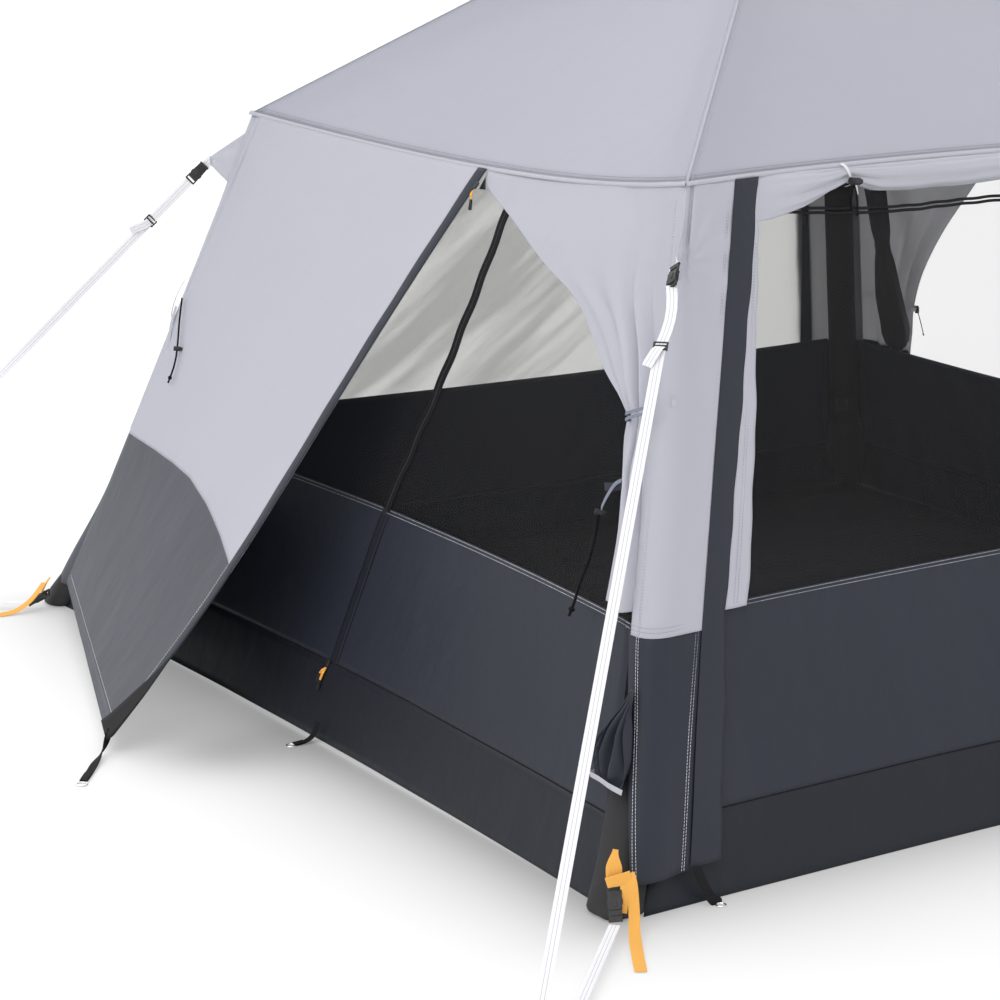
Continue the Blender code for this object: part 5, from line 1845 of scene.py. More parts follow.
@dataclass
class LeftFlap(Assembly):
    """Half of the left door, pulled out and pegged down by its corner."""

    tip: Vector = field(default_factory=lambda: Vector((-2.256, 0.163, 0.034)))
    edge_top: Vector = field(default_factory=lambda: Vector((-1.066, -0.004, 1.622)))
    leg_reach: float = 0.045
    foot_reach: float = 0.088
    hem_share: float = 0.060
    bow: float = 0.040
    sag: float = 0.030
    band_width: float = 0.048
    columns: int = 60
    rows: int = 90
    boundary: Table = (
        (0.0, 0.676), (0.05, 0.6726), (0.21, 0.661), (0.35, 0.654), (0.493, 0.6514), (0.669, 0.664),
        (0.826, 0.6837), (0.9425, 0.7018), (1.0, 0.712),
    )
    patch_inner: Table = (
        (0.853, 1.000), (0.884, 0.988), (0.982, 0.923), (1.0, 0.905),
    )
    patch_outer: Table = (
        (0.853, 1.004), (0.92, 1.020), (0.9885, 1.030), (1.0, 1.012),
    )

    def free_edge(self, down: float) -> Vector:
        """A point of the zip edge, down from the eave to the pegged tip."""
        point = self.edge_top.lerp(self.tip, down)
        bulge = self.bow * math.sin(math.pi * down ** 2.2)
        return point + Vector((0.85, -0.53, 0.0)) * bulge

    def point(self, out: float, down: float, lift: float = 0.0) -> Vector:
        """A point of the flap, out from the leg to the zip edge and down from the eave."""
        share = mix(0.999, self.hem_share, down)
        reach = mix(self.leg_reach, self.foot_reach, smooth((down - 0.75) * 4))
        leg = SHAPE.around(Corner.REAR_LEFT, reach, share, 0.006)
        eave = SHAPE.eave(Face.LEFT, mix(-1 + self.leg_reach / SHAPE.eave_half, 0.0, out))
        eave += Vector((-0.008, 0.0, -0.004))
        head = SHAPE.around(Corner.REAR_LEFT, self.leg_reach, 0.999, 0.006)
        free = self.free_edge(down)
        base = leg.lerp(free, out)
        base += (eave - head.lerp(self.edge_top, out)) * (1 - down) ** 2
        base.z -= self.sag * 4 * out * (1 - out) * down * (1 - down)
        pull = math.sin(out * 9 + down * 3) * (1 - down) * down
        ripple = swell(base, 1.5, 21.0) + 0.35 * swell(base, 5.0, 17.0)
        base += Vector((-0.7, -0.4, 0.5)) * (0.005 * ripple * math.sin(math.pi * out) + 0.003 * pull + lift)
        return base

    def build(self) -> None:
        """Make the light part and the charcoal part."""
        outs = steps(self.columns, 0.0, 0.998)
        light = grid_of(steps(self.rows), outs, lambda r, o: self.point(o, r * table(self.boundary, o)))
        dark = grid_of(steps(self.rows // 2), outs,
                       lambda r, o: self.point(o, mix(table(self.boundary, o) - 0.002, 1.0, r), -0.001))
        add_sheet("left_flap_upper", light, self.finish.light, "light_fabric", "stretched",
                  ["air_frame"], ["left_door_flap"])
        add_sheet("left_flap_lower", dark, self.finish.flap_dark, "dark_fabric", "stretched",
                  ["left_flap_upper"])

    def inner(self, down: float, width: float) -> float:
        """How far out a line lies that keeps a width from the zip edge."""
        span = (self.point(1.0, down) - self.point(0.0, down)).length
        return 1 - width / span

    def trim(self) -> None:
        """Make the zip cover along the free edge, the dark corner patch and the hem."""
        cover, patch = [], []
        sewn = ("dark_fabric", "stretched")
        for down in steps(150, 0.0, 0.955):
            wave = 0.0015 * math.sin(down * 47)
            start = self.inner(down, self.band_width + wave)
            cover.append([self.point(mix(start, 1.0, c), down, 0.0035 + 0.003 * math.sin(math.pi * c))
                          for c in steps(6)])
        add_sheet("left_flap_zip_cover", cover, self.finish.strip, *sewn, ["left_flap_upper"])
        for down in steps(30, 0.853, 1.0):
            start, end = table(self.patch_inner, down), table(self.patch_outer, down)
            patch.append([self.point(mix(start, end, c), down, 0.0075) for c in steps(6)])
        add_sheet("left_flap_corner_patch", patch, self.finish.black_webbing, *sewn, ["left_flap_lower"])
        outs = steps(80, 0.02, 0.995)
        hem = grid_of(outs, steps(2), lambda o, c: self.point(o, mix(0.984, 1.0, c), 0.0022))
        add_sheet("left_flap_hem", hem, self.finish.flap_dark, *sewn, ["left_flap_lower"])


@dataclass
class FlapPeg(Assembly):
    """The twisted black webbing from the flap's corner to its ground ring."""

    width: float = 0.024
    thickness: float = 0.0018
    path: Sequence[Place] = (
        (-2.246, 0.176, 0.040), (-2.262, 0.155, 0.030), (-2.300, 0.105, 0.018), (-2.350, 0.040, 0.010),
        (-2.400, -0.026, 0.0055), (-2.4335, -0.0690, 0.0040),
    )
    tab: Sequence[Place] = ((-2.240, 0.190, 0.050), (-2.250, 0.172, 0.037), (-2.258, 0.160, 0.031))

    def build(self) -> None:
        """Make the webbing, edge on at the flap and flat at the ring, and its folded end."""
        look = (self.finish.black_webbing, "dark_fabric")
        route = resampled(self.path, 40)
        ahead = (route[-1] - route[0]).normalized()
        flat = Vector((-ahead.y, ahead.x, 0.0)).normalized()
        sides = []
        for i in range(len(route)):
            turn = (1 - smooth(i / len(route) / 0.62)) * math.radians(118.0)
            sides.append(flat * math.cos(turn) + UP * math.sin(turn))
        ribbon("left_flap_peg_webbing", self.path, 40, sides, (self.width, self.thickness), look)
        fold = [route[-1] + UP * 0.0022, route[-4] + UP * 0.0040, route[-9] + UP * 0.0034]
        ribbon("left_flap_peg_fold", fold, 8, flat, (self.width * 0.96, self.thickness), look)
        ribbon("left_flap_peg_tab", self.tab, 8, UP, (0.018, 0.004), look)


def wall_strip(face: Face, path: Table, width: float, out: float,
               columns: int = 4) -> Grid:
    """Rows of points of a strip lying on a wall.

    Args:
        face: Which wall.
        path: Its middle, as distance along the wall and height.
        width: Its width.
        out: How far it lies out of the wall's surface.
        columns: How many columns it has.

    Returns:
        The strip's grid of points.
    """
    grid = []
    for i, (across, z) in enumerate(path):
        ahead, behind = path[min(i + 1, len(path) - 1)], path[max(i - 1, 0)]
        run = Vector((ahead[0] - behind[0], ahead[1] - behind[1])).normalized()
        grid.append([SHAPE.wall_at(face, across - run.y * c, z + run.x * c, out)
                     for c in steps(columns, -width / 2, width / 2)])
    return grid


@dataclass
class ZipPull(Assembly):
    """An orange cord loop on a zip runner, ending in black moulded grips."""

    node: str
    hinge: Place
    down: Place
    side: Place
    grips: Sequence[tuple[float, float, float]]
    cord_radius: float = 0.0016
    half: float = 0.0068

    def build(self) -> None:
        """Make the cord loop and the grips, riding on the pull's own body."""
        top, down = Vector(self.hinge), Vector(self.down).normalized()
        side = Vector(self.side).normalized()
        out = side.cross(down).normalized()
        if out.x > 0:
            out = -out
        cords, grips, w = bmesh.new(), bmesh.new(), self.half
        for shift, drop, length in self.grips:
            for strand in (-1, 1):
                path = [top + out * 0.002,
                        top + down * drop * 0.4 + side * (shift * 0.3 + strand * 0.0030) + out * 0.006,
                        top + down * drop + side * (shift + strand * 0.0016) + out * 0.005]
                absorb(cords, tube("cord", resampled(path, 14), self.cord_radius, 8))
            knot = [top + down * drop * 0.5 + side * shift * 0.4 - side * 0.005 + out * 0.006,
                    top + down * drop * 0.5 + side * shift * 0.4 + side * 0.005 + out * 0.007]
            bulge = tube("knot", resampled(knot, 8), lambda t: 0.0012 + 0.0034 * math.sin(math.pi * t), 10)
            absorb(cords, bulge)
            made = Moulding(top + down * (drop + length / 2) + side * shift * 1.1 + out * 0.005, down, out)
            made.outline([(-w * 0.62, -length / 2), (w * 0.62, -length / 2), (w, length * 0.30),
                          (w * 0.8, length / 2), (-w * 0.8, length / 2), (-w, length * 0.30)],
                         -0.0026, 0.0026, 0.0012)
            for k in range(4):
                made.block((0.0, -length * 0.1 + k * 0.0045, 0.0028), (w * 1.3, 0.0016, 0.0010), 0.0004)
            absorb(grips, made.mesh("grip"))
        for part, source, finish, slot, nodes in (
            ("cord", cords, self.finish.orange_cord, "pull_cord", [self.node]),
            ("grip", grips, self.finish.plastic, "black_plastic", []),
        ):
            name = f"{self.node}_{part}"
            add_piece(name, baked(source, name), finish, slot, nodes, self.node, 40.0)


@dataclass
class ScreenZip(Assembly):
    """The left screen's centre zip: black tape, teeth, its runner's pull and the door zip's pull."""

    width: float = 0.042
    wall_top: float = 0.648
    path: Table = (
        (0.020, 0.205), (0.026, 0.420), (0.035, 0.646), (0.066, 0.820), (0.100, 1.000), (0.122, 1.180),
        (0.140, 1.340), (0.146, 1.420), (0.157, 1.516), (0.172, 1.600),
    )
    stop: Table = ((0.000, 1.600), (0.022, 1.568), (-0.012, 1.566))

    def places(self, count: int) -> list[tuple[float, float]]:
        """Even places of the zip's middle, slightly wavy."""
        line = resampled([Vector((a, z, 0.0)) for a, z in self.path], count)
        return [(p.x + 0.0035 * math.sin(p.y * 41) * smooth((p.y - 0.6) * 4), p.y) for p in line]

    def build(self) -> None:
        """Make the tape, the teeth and the pulls."""
        line = self.places(170)
        upper = [p for p in line if p[1] > self.wall_top]
        lower = [p for p in line if p[1] <= self.wall_top]
        grid = wall_strip(Face.LEFT, upper, self.width, -0.0075)
        add_sheet("left_screen_zip_tape", grid, self.finish.black_webbing, "dark_fabric", "stretched",
                  ["left_mesh_panel"], ["screen_zip_tape"], 0.0010)
        grid = wall_strip(Face.LEFT, lower, self.width, -0.0095)
        add_sheet("left_wall_zip_tape", grid, self.finish.skirt, "dark_fabric", "stretched",
                  ["left_lower_panel"], (), 0.0006)
        teeth = [SHAPE.wall_at(Face.LEFT, a, z, -0.0062) for a, z in upper]
        mesh = tube("teeth", teeth, lambda t: 0.0019 + 0.0004 * math.sin(t * 1900), 8)
        add_piece("left_screen_zip_teeth", mesh, self.finish.plastic, "black_plastic")
        side = (0.0, -1.0, 0.0)
        ZipPull(self.finish, "screen_zip_pull", SCREEN_PULL_HINGE, (-0.33, 0.0, -0.94), side,
                ((-0.020, 0.022, 0.028), (-0.008, 0.040, 0.032)), cord_radius=0.0026).build()
        ZipPull(self.finish, "door_zip_pull", DOOR_PULL_HINGE, (-0.16, 0.0, -0.98), side,
                ((0.002, 0.026, 0.032),)).build()
        top, right, left = (SHAPE.wall_at(Face.LEFT, a, z, 0.004) for a, z in self.stop)
        beside = top + UP * 0.0002
        fine = grid_of(steps(5), steps(3), lambda r, c: top.lerp(left, r).lerp(beside.lerp(right, r), c))
        made = add_piece("left_door_zip_stop", grid_mesh("zip_stop", fine), self.finish.strip, "dark_fabric")
        lined(made, 0.0015)


@dataclass
class FrontZip(Assembly):
    """The black double line of the front screen's top zip."""

    path: Table = (
        (-0.955, 1.628), (-0.843, 1.619), (-0.632, 1.600), (-0.403, 1.589), (-0.249, 1.590), (0.0, 1.591),
        (0.249, 1.590), (0.403, 1.589), (0.632, 1.600), (0.843, 1.619), (0.955, 1.628),
    )
    width: float = 0.0075
    gap: float = 0.0058

    def build(self) -> None:
        """Make both lines."""
        for name, shift in (("upper", self.gap), ("lower", -self.gap)):
            line = resampled([Vector((a, z + shift, 0.0)) for a, z in self.path], 160)
            wavy = [(p.x, p.y + 0.0008 * math.sin(p.x * 60 + self.width * 900)) for p in line]
            mesh = grid_mesh(f"front_zip_{name}", wall_strip(Face.FRONT, wavy, self.width, -0.0070, 2))
            made = add_piece(f"front_screen_zip_{name}", mesh, self.finish.black_webbing, "dark_fabric")
            lined(made, 0.0028)


@dataclass
class StakeLoop(Assembly):
    """Black webbing from a wall's foot to its ground ring."""

    name: str
    path: Sequence[Place]
    side: Place
    width: float = 0.026
    thickness: float = 0.0018

    def build(self) -> None:
        """Make the webbing and the fold round the ring."""
        look = (self.finish.black_webbing, "dark_fabric")
        ribbon(self.name, self.path, 24, self.side, (self.width, self.thickness), look)
        route = resampled(self.path, 24)
        fold = [route[at] + UP * rise for at, rise in ((-1, 0.001), (-1, 0.0042), (-4, 0.0042), (-8, 0.0036))]
        ribbon(f"{self.name}_fold", fold, 10, self.side, (self.width * 0.95, self.thickness), look)


@dataclass
class Gusset(Assembly):
    """The triangular cloth tab sewn into a corner under the eave, with the strap's sewn end."""

    corner: Corner
    high: float = 1.670
    low: float = 1.482
    tip_out: float = 0.092
    tip_z: float = 1.536
    reference_z: float = 1.55
    tip_half: float = 0.012
    stub_steps: int = 14

    def build(self) -> None:
        """Make the tab and the short webbing out of its tip."""
        name = self.corner.name.lower()
        out = turned((-DIAGONAL, -DIAGONAL, 0.0), self.corner)
        side = turned((DIAGONAL, -DIAGONAL, 0.0), self.corner)
        tip = SHAPE.around(self.corner, 0.0, self.reference_z / SHAPE.eave_z, 0.0) + out * self.tip_out
        tip.z = self.tip_z

        def point(share: float, across: float) -> Vector:
            """A point of the gusset, by shares of its height and of its width."""
            z = mix(self.high, self.low, share)
            start = SHAPE.around(self.corner, 0.0, z / SHAPE.eave_z, -0.004)
            end = tip + UP * mix(self.tip_half, -self.tip_half, share)
            ruck = 0.0022 * math.sin(share * 13 + across * 4) * math.sin(math.pi * across)
            return start.lerp(end, across) + side * ruck

        # The gusset takes the roof's darker copy of the light cloth: painted shade.
        add_sheet(f"{name}_eave_gusset", grid_of(steps(24), steps(14), point), self.finish.roof,
                  "light_fabric", "stretched", [f"{name}_cover_upper"], (), 0.0030, 0.0)
        drop = Vector((0.0, 0.0, -0.70)) + out * 0.72
        route = [tip - drop * 0.012, tip + drop * 0.010, tip + drop * 0.026]
        flat = self.corner == Corner.FRONT_LEFT
        sides = []
        for i in range(self.stub_steps + 1):
            turn = smooth(i / (self.stub_steps + 1)) * math.pi / 2 if flat else 0.0
            sides.append(UP * math.cos(turn) + side * math.sin(turn))
        ribbon(f"{name}_strap_root", route, self.stub_steps, sides, (0.028, 0.0018),
               (self.finish.strap, "webbing"))


FRONT_FOOT = (
    (((-1.757, -1.719, 0.188), (-1.765, -1.725, 0.168), (-1.770, -1.731, 0.145), (-1.773, -1.737, 0.115)),
     (0.014, 0.040), (0.85, -0.53, 0.0)),
    (((-1.792, -1.732, 0.112), (-1.786, -1.744, 0.118), (-1.765, -1.757, 0.124), (-1.742, -1.764, 0.130)),
     (0.026, 0.030), (0.0, 0.15, 1.0)),
    (((-1.752, -1.758, 0.126), (-1.760, -1.768, 0.098), (-1.770, -1.774, 0.072), (-1.778, -1.780, 0.048)),
     (0.030, 0.024), (0.85, -0.53, 0.0)),
    (((-1.742, -1.756, 0.136), (-1.744, -1.772, 0.112), (-1.750, -1.788, 0.072), (-1.764, -1.812, 0.036),
      (-1.786, -1.846, 0.014), (-1.836, -1.930, 0.006), (-1.885, -2.015, 0.004)),
     (0.026, 0.030), (0.85, -0.53, 0.0)),
)
REAR_FOOT = (
    (((-1.775, 1.690, 0.104), (-1.790, 1.686, 0.088), (-1.803, 1.680, 0.072), (-1.814, 1.674, 0.058)),
     (0.018, 0.028), (0.50, 0.80, 0.3)),
    (((-1.798, 1.686, 0.090), (-1.826, 1.672, 0.068), (-1.866, 1.664, 0.036), (-1.915, 1.664, 0.012),
      (-1.968, 1.668, 0.005), (-2.030, 1.672, 0.004)), (0.027, 0.028), (0.10, 0.97, 0.20)),
)


@dataclass
class FootWebbing(Assembly):
    """Orange webbing from a boot through the foot buckle, with its folded loop and loose tail."""

    corner: str
    bands: Sequence[tuple[Sequence[Place], tuple[float, float], Place]]

    def build(self) -> None:
        """Make each length of webbing."""
        for i, (points, (first, last), side) in enumerate(self.bands):
            ribbon(f"{self.corner}_foot_webbing_{i + 1}", points, 28, side,
                   (lambda t, a=first, b=last: mix(a, b, smooth(t * 1.6)), 0.0018),
                   (self.finish.orange, "pull_cord"))


def toggle(
    name: str, middle: Vector, along: Vector, finish: Finishes, size: float = 1.25
) -> bpy.types.Object:
    """A black cord lock.

    Args:
        name: The piece's name.
        middle: Its middle.
        along: The direction of its barrel.
        finish: The finishes.
        size: How many times the smallest lock it is.

    Returns:
        The piece's object.
    """
    made = Moulding(middle, along, Vector((-0.5, -0.8, 0.3)))
    made.bar([(0.0, y * size, 0.0) for y in steps(10, -0.009, 0.009)], 0.0062 * size, 12)
    made.bar([(0.0, y * size, 0.0) for y in (0.008, 0.0110, 0.0135)], 0.0042 * size, 12)
    made.block((0.0, 0.0, 0.0048 * size), (0.0085 * size, 0.011 * size, 0.0035 * size), 0.0010)
    return add_piece(name, made.mesh(name), finish.plastic, "black_plastic", (), angle=40.0)


def tie_cord(name: str, points: Sequence[Sequence[float]], finish: Finishes, stopper: float | None,
             radius: float = 0.0019) -> None:
    """A loose black tie cord with a knot near its end and, where given, a cord lock on it.

    Args:
        name: The cord's name.
        points: Points of its route.
        finish: The finishes.
        stopper: The share of its length where the cord lock sits, or None.
        radius: Its radius.
    """
    route = resampled([Vector(p) for p in points], 48)
    if stopper is not None:
        spot = on_line(route, stopper)
        ahead = (on_line(route, min(stopper + 0.05, 1.0)) - spot).normalized()
        across = ahead.cross(Vector((0.5, 0.8, 0.0))).normalized()
        toggle(f"{name}_toggle", spot, across, finish)
    lump = resampled([route[-5], route[-4], route[-3]], 9)
    mesh = tube(f"{name}_knot", lump, lambda t: radius * (1.15 + 1.2 * math.sin(math.pi * t)), 10)
    add_piece(f"{name}_knot", mesh, finish.cord, "black_plastic")
    mesh = tube(name, route, radius, 10)
    made = add_piece(name, mesh, finish.cord, "black_plastic")
    length_of(route)


@dataclass
class CurtainTies(Assembly):
    """The tapes and cords that hold the left door half beside the near leg, and the far edge's tie."""

    wraps: Sequence[Sequence[Place]] = (
        ((0.170, 1.138, 0.012), (0.156, 1.144, 0.044), (0.137, 1.151, 0.056), (0.090, 1.165, 0.058),
         (0.040, 1.180, 0.052), (0.006, 1.188, 0.040)),
        ((0.172, 1.124, 0.012), (0.154, 1.131, 0.044), (0.134, 1.138, 0.056), (0.088, 1.153, 0.058),
         (0.038, 1.168, 0.052), (0.002, 1.184, 0.040)),
    )
    loop: Sequence[Place] = (
        (0.165, 0.985, 0.020), (0.195, 0.970, 0.034), (0.232, 0.930, 0.038), (0.262, 0.894, 0.034),
    )
    flag: Sequence[Place] = ((0.165, 0.972, 0.022), (0.215, 0.958, 0.026), (0.268, 0.947, 0.026))
    cord: Sequence[Place] = (
        (0.262, 0.902, 0.034), (0.268, 0.880, 0.036), (0.276, 0.845, 0.032), (0.285, 0.812, 0.030),
        (0.296, 0.778, 0.030), (0.316, 0.737, 0.030), (0.338, 0.697, 0.030), (0.352, 0.656, 0.030),
        (0.369, 0.618, 0.032),
    )
    far_loop: Sequence[Place] = (
        (0.0, 1.165, 0.006), (-0.006, 1.150, 0.022), (0.004, 1.100, 0.026), (0.026, 1.050, 0.022),
        (0.036, 1.020, 0.010),
    )
    far_tail: Sequence[Place] = (
        (0.030, 1.070, 0.016), (0.052, 1.010, 0.018), (0.074, 0.955, 0.016), (0.090, 0.925, 0.014),
    )
    far_cord: Table = (
        (0.0077, 0.3854), (0.030, 0.412), (0.0508, 0.4345), (0.0979, 0.4781), (0.1201, 0.5074),
        (0.1292, 0.5417),
    )

    def on(self, points: Sequence[Place]) -> list[Vector]:
        """Points of the left wall by distance from the near corner's edge, height and distance out."""
        return [SHAPE.wall_at(Face.LEFT, SHAPE.half(z) - d, z, out) for d, z, out in points]

    def far(self, points: Sequence[Place]) -> list[Vector]:
        """Points round the rear left corner, given in the same way."""
        return [SHAPE.around(Corner.REAR_LEFT, d, z / SHAPE.eave_z, out) for d, z, out in points]

    def build(self) -> None:
        """Make the tie tapes, the toggled cords and the tabs."""
        tie, white = (self.finish.tie_tape, "tie_webbing"), (self.finish.strap, "tie_webbing")
        for i, line in enumerate(self.wraps):
            ribbon(f"left_door_tie_tape_{i + 1}", self.on(line), 36, (0.1, 0.0, 1.0), (0.0085, 0.0016), tie,
                   ["left_door_tie"] if i == 0 else [])
        tab = [SHAPE.around(Corner.FRONT_LEFT, d, 1.192 / SHAPE.eave_z, 0.010) for d in (0.008, 0.016, 0.024)]
        ribbon("left_door_tie_tab", tab, 8, UP, (0.020, 0.0018), (self.finish.light, "light_fabric"))
        ribbon("left_door_middle_tape", self.on(self.loop), 20, (0.2, 0.3, 1.0), (0.010, 0.0016), tie)
        ribbon("left_door_middle_tab", self.on(self.flag), 14, (0.0, -0.2, 1.0), (0.022, 0.0016),
               (self.finish.strip, "dark_fabric"))
        tie_cord("left_door_middle_cord", self.on(self.cord), self.finish, 0.05, 0.0038)
        ribbon("rear_left_edge_loop", self.far(self.far_loop), 24, (0.6, 0.8, 0.0), (0.012, 0.0016), white)
        ribbon("rear_left_edge_tail", self.far(self.far_tail), 16, (0.5, -0.8, 0.2), (0.010, 0.0016),
               (self.finish.tape, "tie_webbing"))
        flap = LeftFlap(self.finish)
        route = [flap.point(*p, 0.020) for p in self.far_cord]
        tie_cord("rear_left_edge_cord", route, self.finish, 0.60, 0.0030)


@dataclass
class RollTies(Assembly):
    """The toggled ties round the rolled front cover."""

    places: Sequence[tuple[float, str]] = ((-0.605, "front_left_roll_tie"), (0.605, "front_right_roll_tie"))

    def build(self) -> None:
        """Make each tie's loop, its cord lock, its tail and its two loose cords."""
        look = (self.finish.strap, "tie_webbing")
        for x, node in self.places:
            eave = SHAPE.eave(Face.FRONT, x / SHAPE.eave_half)
            middle = Vector((x, eave.y - 0.010, eave.z - 0.036))

            def at(*places: Place, m: Vector = middle) -> list[Vector]:
                """Points by their distance along the eave, out from the roll and up."""
                return [m + Vector((across, -out, up)) for across, out, up in places]

            loop = at((-0.022, 0.004, 0.040), (-0.016, 0.018, 0.032), (-0.006, 0.023, 0.012),
                      (0.0, 0.022, -0.004), (0.004, 0.014, -0.018), (0.004, -0.006, -0.024))
            ribbon(f"{node}_loop", loop, 24, (0.9, 0.0, 0.3), (0.008, 0.0014), look, [node])
            lock = at((0.004, 0.034, -0.006))[0]
            toggle(f"{node}_toggle", lock, Vector((1.0, 0.0, -0.10)), self.finish, 1.7)
            tail = at((0.002, 0.028, -0.004), (0.008, 0.034, -0.022), (0.016, 0.030, -0.044))
            ribbon(f"{node}_tail", tail, 12, (0.9, 0.0, 0.4), (0.009, 0.0014), look)
            for k, (drift, drop) in enumerate(((-0.004, 0.082), (0.018, 0.102))):
                points = at((0.002, 0.032, -0.012), (drift * 0.6, 0.034, -drop * 0.4),
                            (drift, 0.030, -drop * 0.75), (drift + 0.006, 0.024, -drop))
                tie_cord(f"{node}_cord_{k + 1}", points, self.finish, None, 0.0024)


@dataclass
class Bundle(Assembly):
    """The right screen, rolled up and hanging beside the far leg."""

    path: Sequence[Place] = (
        (1.150, 0.985, 1.500), (1.190, 0.988, 1.400), (1.235, 1.000, 1.240), (1.285, 1.020, 1.080),
        (1.335, 1.036, 0.900), (1.372, 1.042, 0.780), (1.396, 1.044, 0.690),
    )
    sizes: Table = (
        (0.00, 0.036), (0.20, 0.040), (0.44, 0.034), (0.51, 0.027), (0.58, 0.036), (0.75, 0.052),
        (0.92, 0.056), (0.975, 0.044), (1.00, 0.016),
    )
    waist: float = 0.51
    sides: int = 40

    def build(self) -> None:
        """Make the folded bundle and its tie."""
        route = resampled([Vector(p) for p in self.path], 110)
        turns = frames(route, Vector((0.0, 1.0, 0.0)))
        rings = []
        for i, (point, side) in enumerate(zip(route, turns)):
            share = i / (len(route) - 1)
            ahead = (route[min(i + 1, len(route) - 1)] - route[max(i - 1, 0)]).normalized()
            up = ahead.cross(side)
            size = table(self.sizes, share)
            ring = []
            for k in range(self.sides):
                t = 2 * math.pi * k / self.sides
                fold = 0.16 * math.cos(5 * t + 3 * share) + 0.08 * math.sin(9 * t - 4 * share + 1.0)
                r = size * (1 + fold * (1 - math.exp(-(((share - self.waist) / 0.05) ** 2)) * 0.5))
                ring.append(point + side * (r * math.cos(t)) + up * (r * math.sin(t) * 0.8))
            rings.append(ring)
        mesh = closed_rings("right_screen_bundle", rings)
        made = add_piece("right_screen_bundle", mesh, self.finish.inside, "mesh_fabric",
                         ["right_screen_roll"], angle=70.0)
        at = round(self.waist * (len(route) - 1))
        middle, side = route[at], turns[at]
        ahead = (route[at + 1] - route[at - 1]).normalized()
        up = ahead.cross(side)
        circle = [middle + side * (0.031 * math.cos(t)) + up * (0.026 * math.sin(t))
                  for t in steps(40, 0.0, 2 * math.pi)]
        add_piece("right_screen_bundle_tie", band("tie", circle, ahead, 0.016, 0.0018),
                  self.finish.black_webbing, "tie_webbing", ["right_screen_roll_tie"])


@dataclass
class SideTies(Assembly):
    """Ties of the right face's two door halves."""

    places: Sequence[tuple[str, float, float, float, float]] = (
        ("front_right_door_tie", -1.0, 1.100, 0.235, 0.052),
        ("rear_right_door_tie", 1.0, 0.850, 0.470, 0.046),
    )

    def build(self) -> None:
        """Make each tie's tape and cord lock."""
        for node, sign, z, reach, bulk in self.places:
            half = SHAPE.half(z)
            route = [SHAPE.wall_at(Face.RIGHT, sign * (half - d), z + rise, out) for d, rise, out in (
                (0.03, 0.004, 0.010), (reach * 0.35, 0.002, bulk), (reach * 0.8, -0.006, bulk),
                (reach + 0.012, -0.008, bulk * 0.5), (reach + 0.010, -0.006, -0.012))]
            ribbon(f"{node}_tape", route, 40, UP, (0.014, 0.0016), (self.finish.tape, "tie_webbing"), [node])
            spot = SHAPE.wall_at(Face.RIGHT, sign * (half - reach - 0.016), z - 0.010, 0.012)
            toggle(f"{node}_toggle", spot, Vector((0.1, 0.1, 1.0)), self.finish)
            cord = [spot + Vector(step) for step in (
                (0.0, 0.0, 0.0), (0.008, -sign * 0.006, -0.030), (0.022, -sign * 0.004, -0.065),
                (0.036, 0.0, -0.100))]
            tie_cord(f"{node}_cord", cord, self.finish, None, 0.0016)


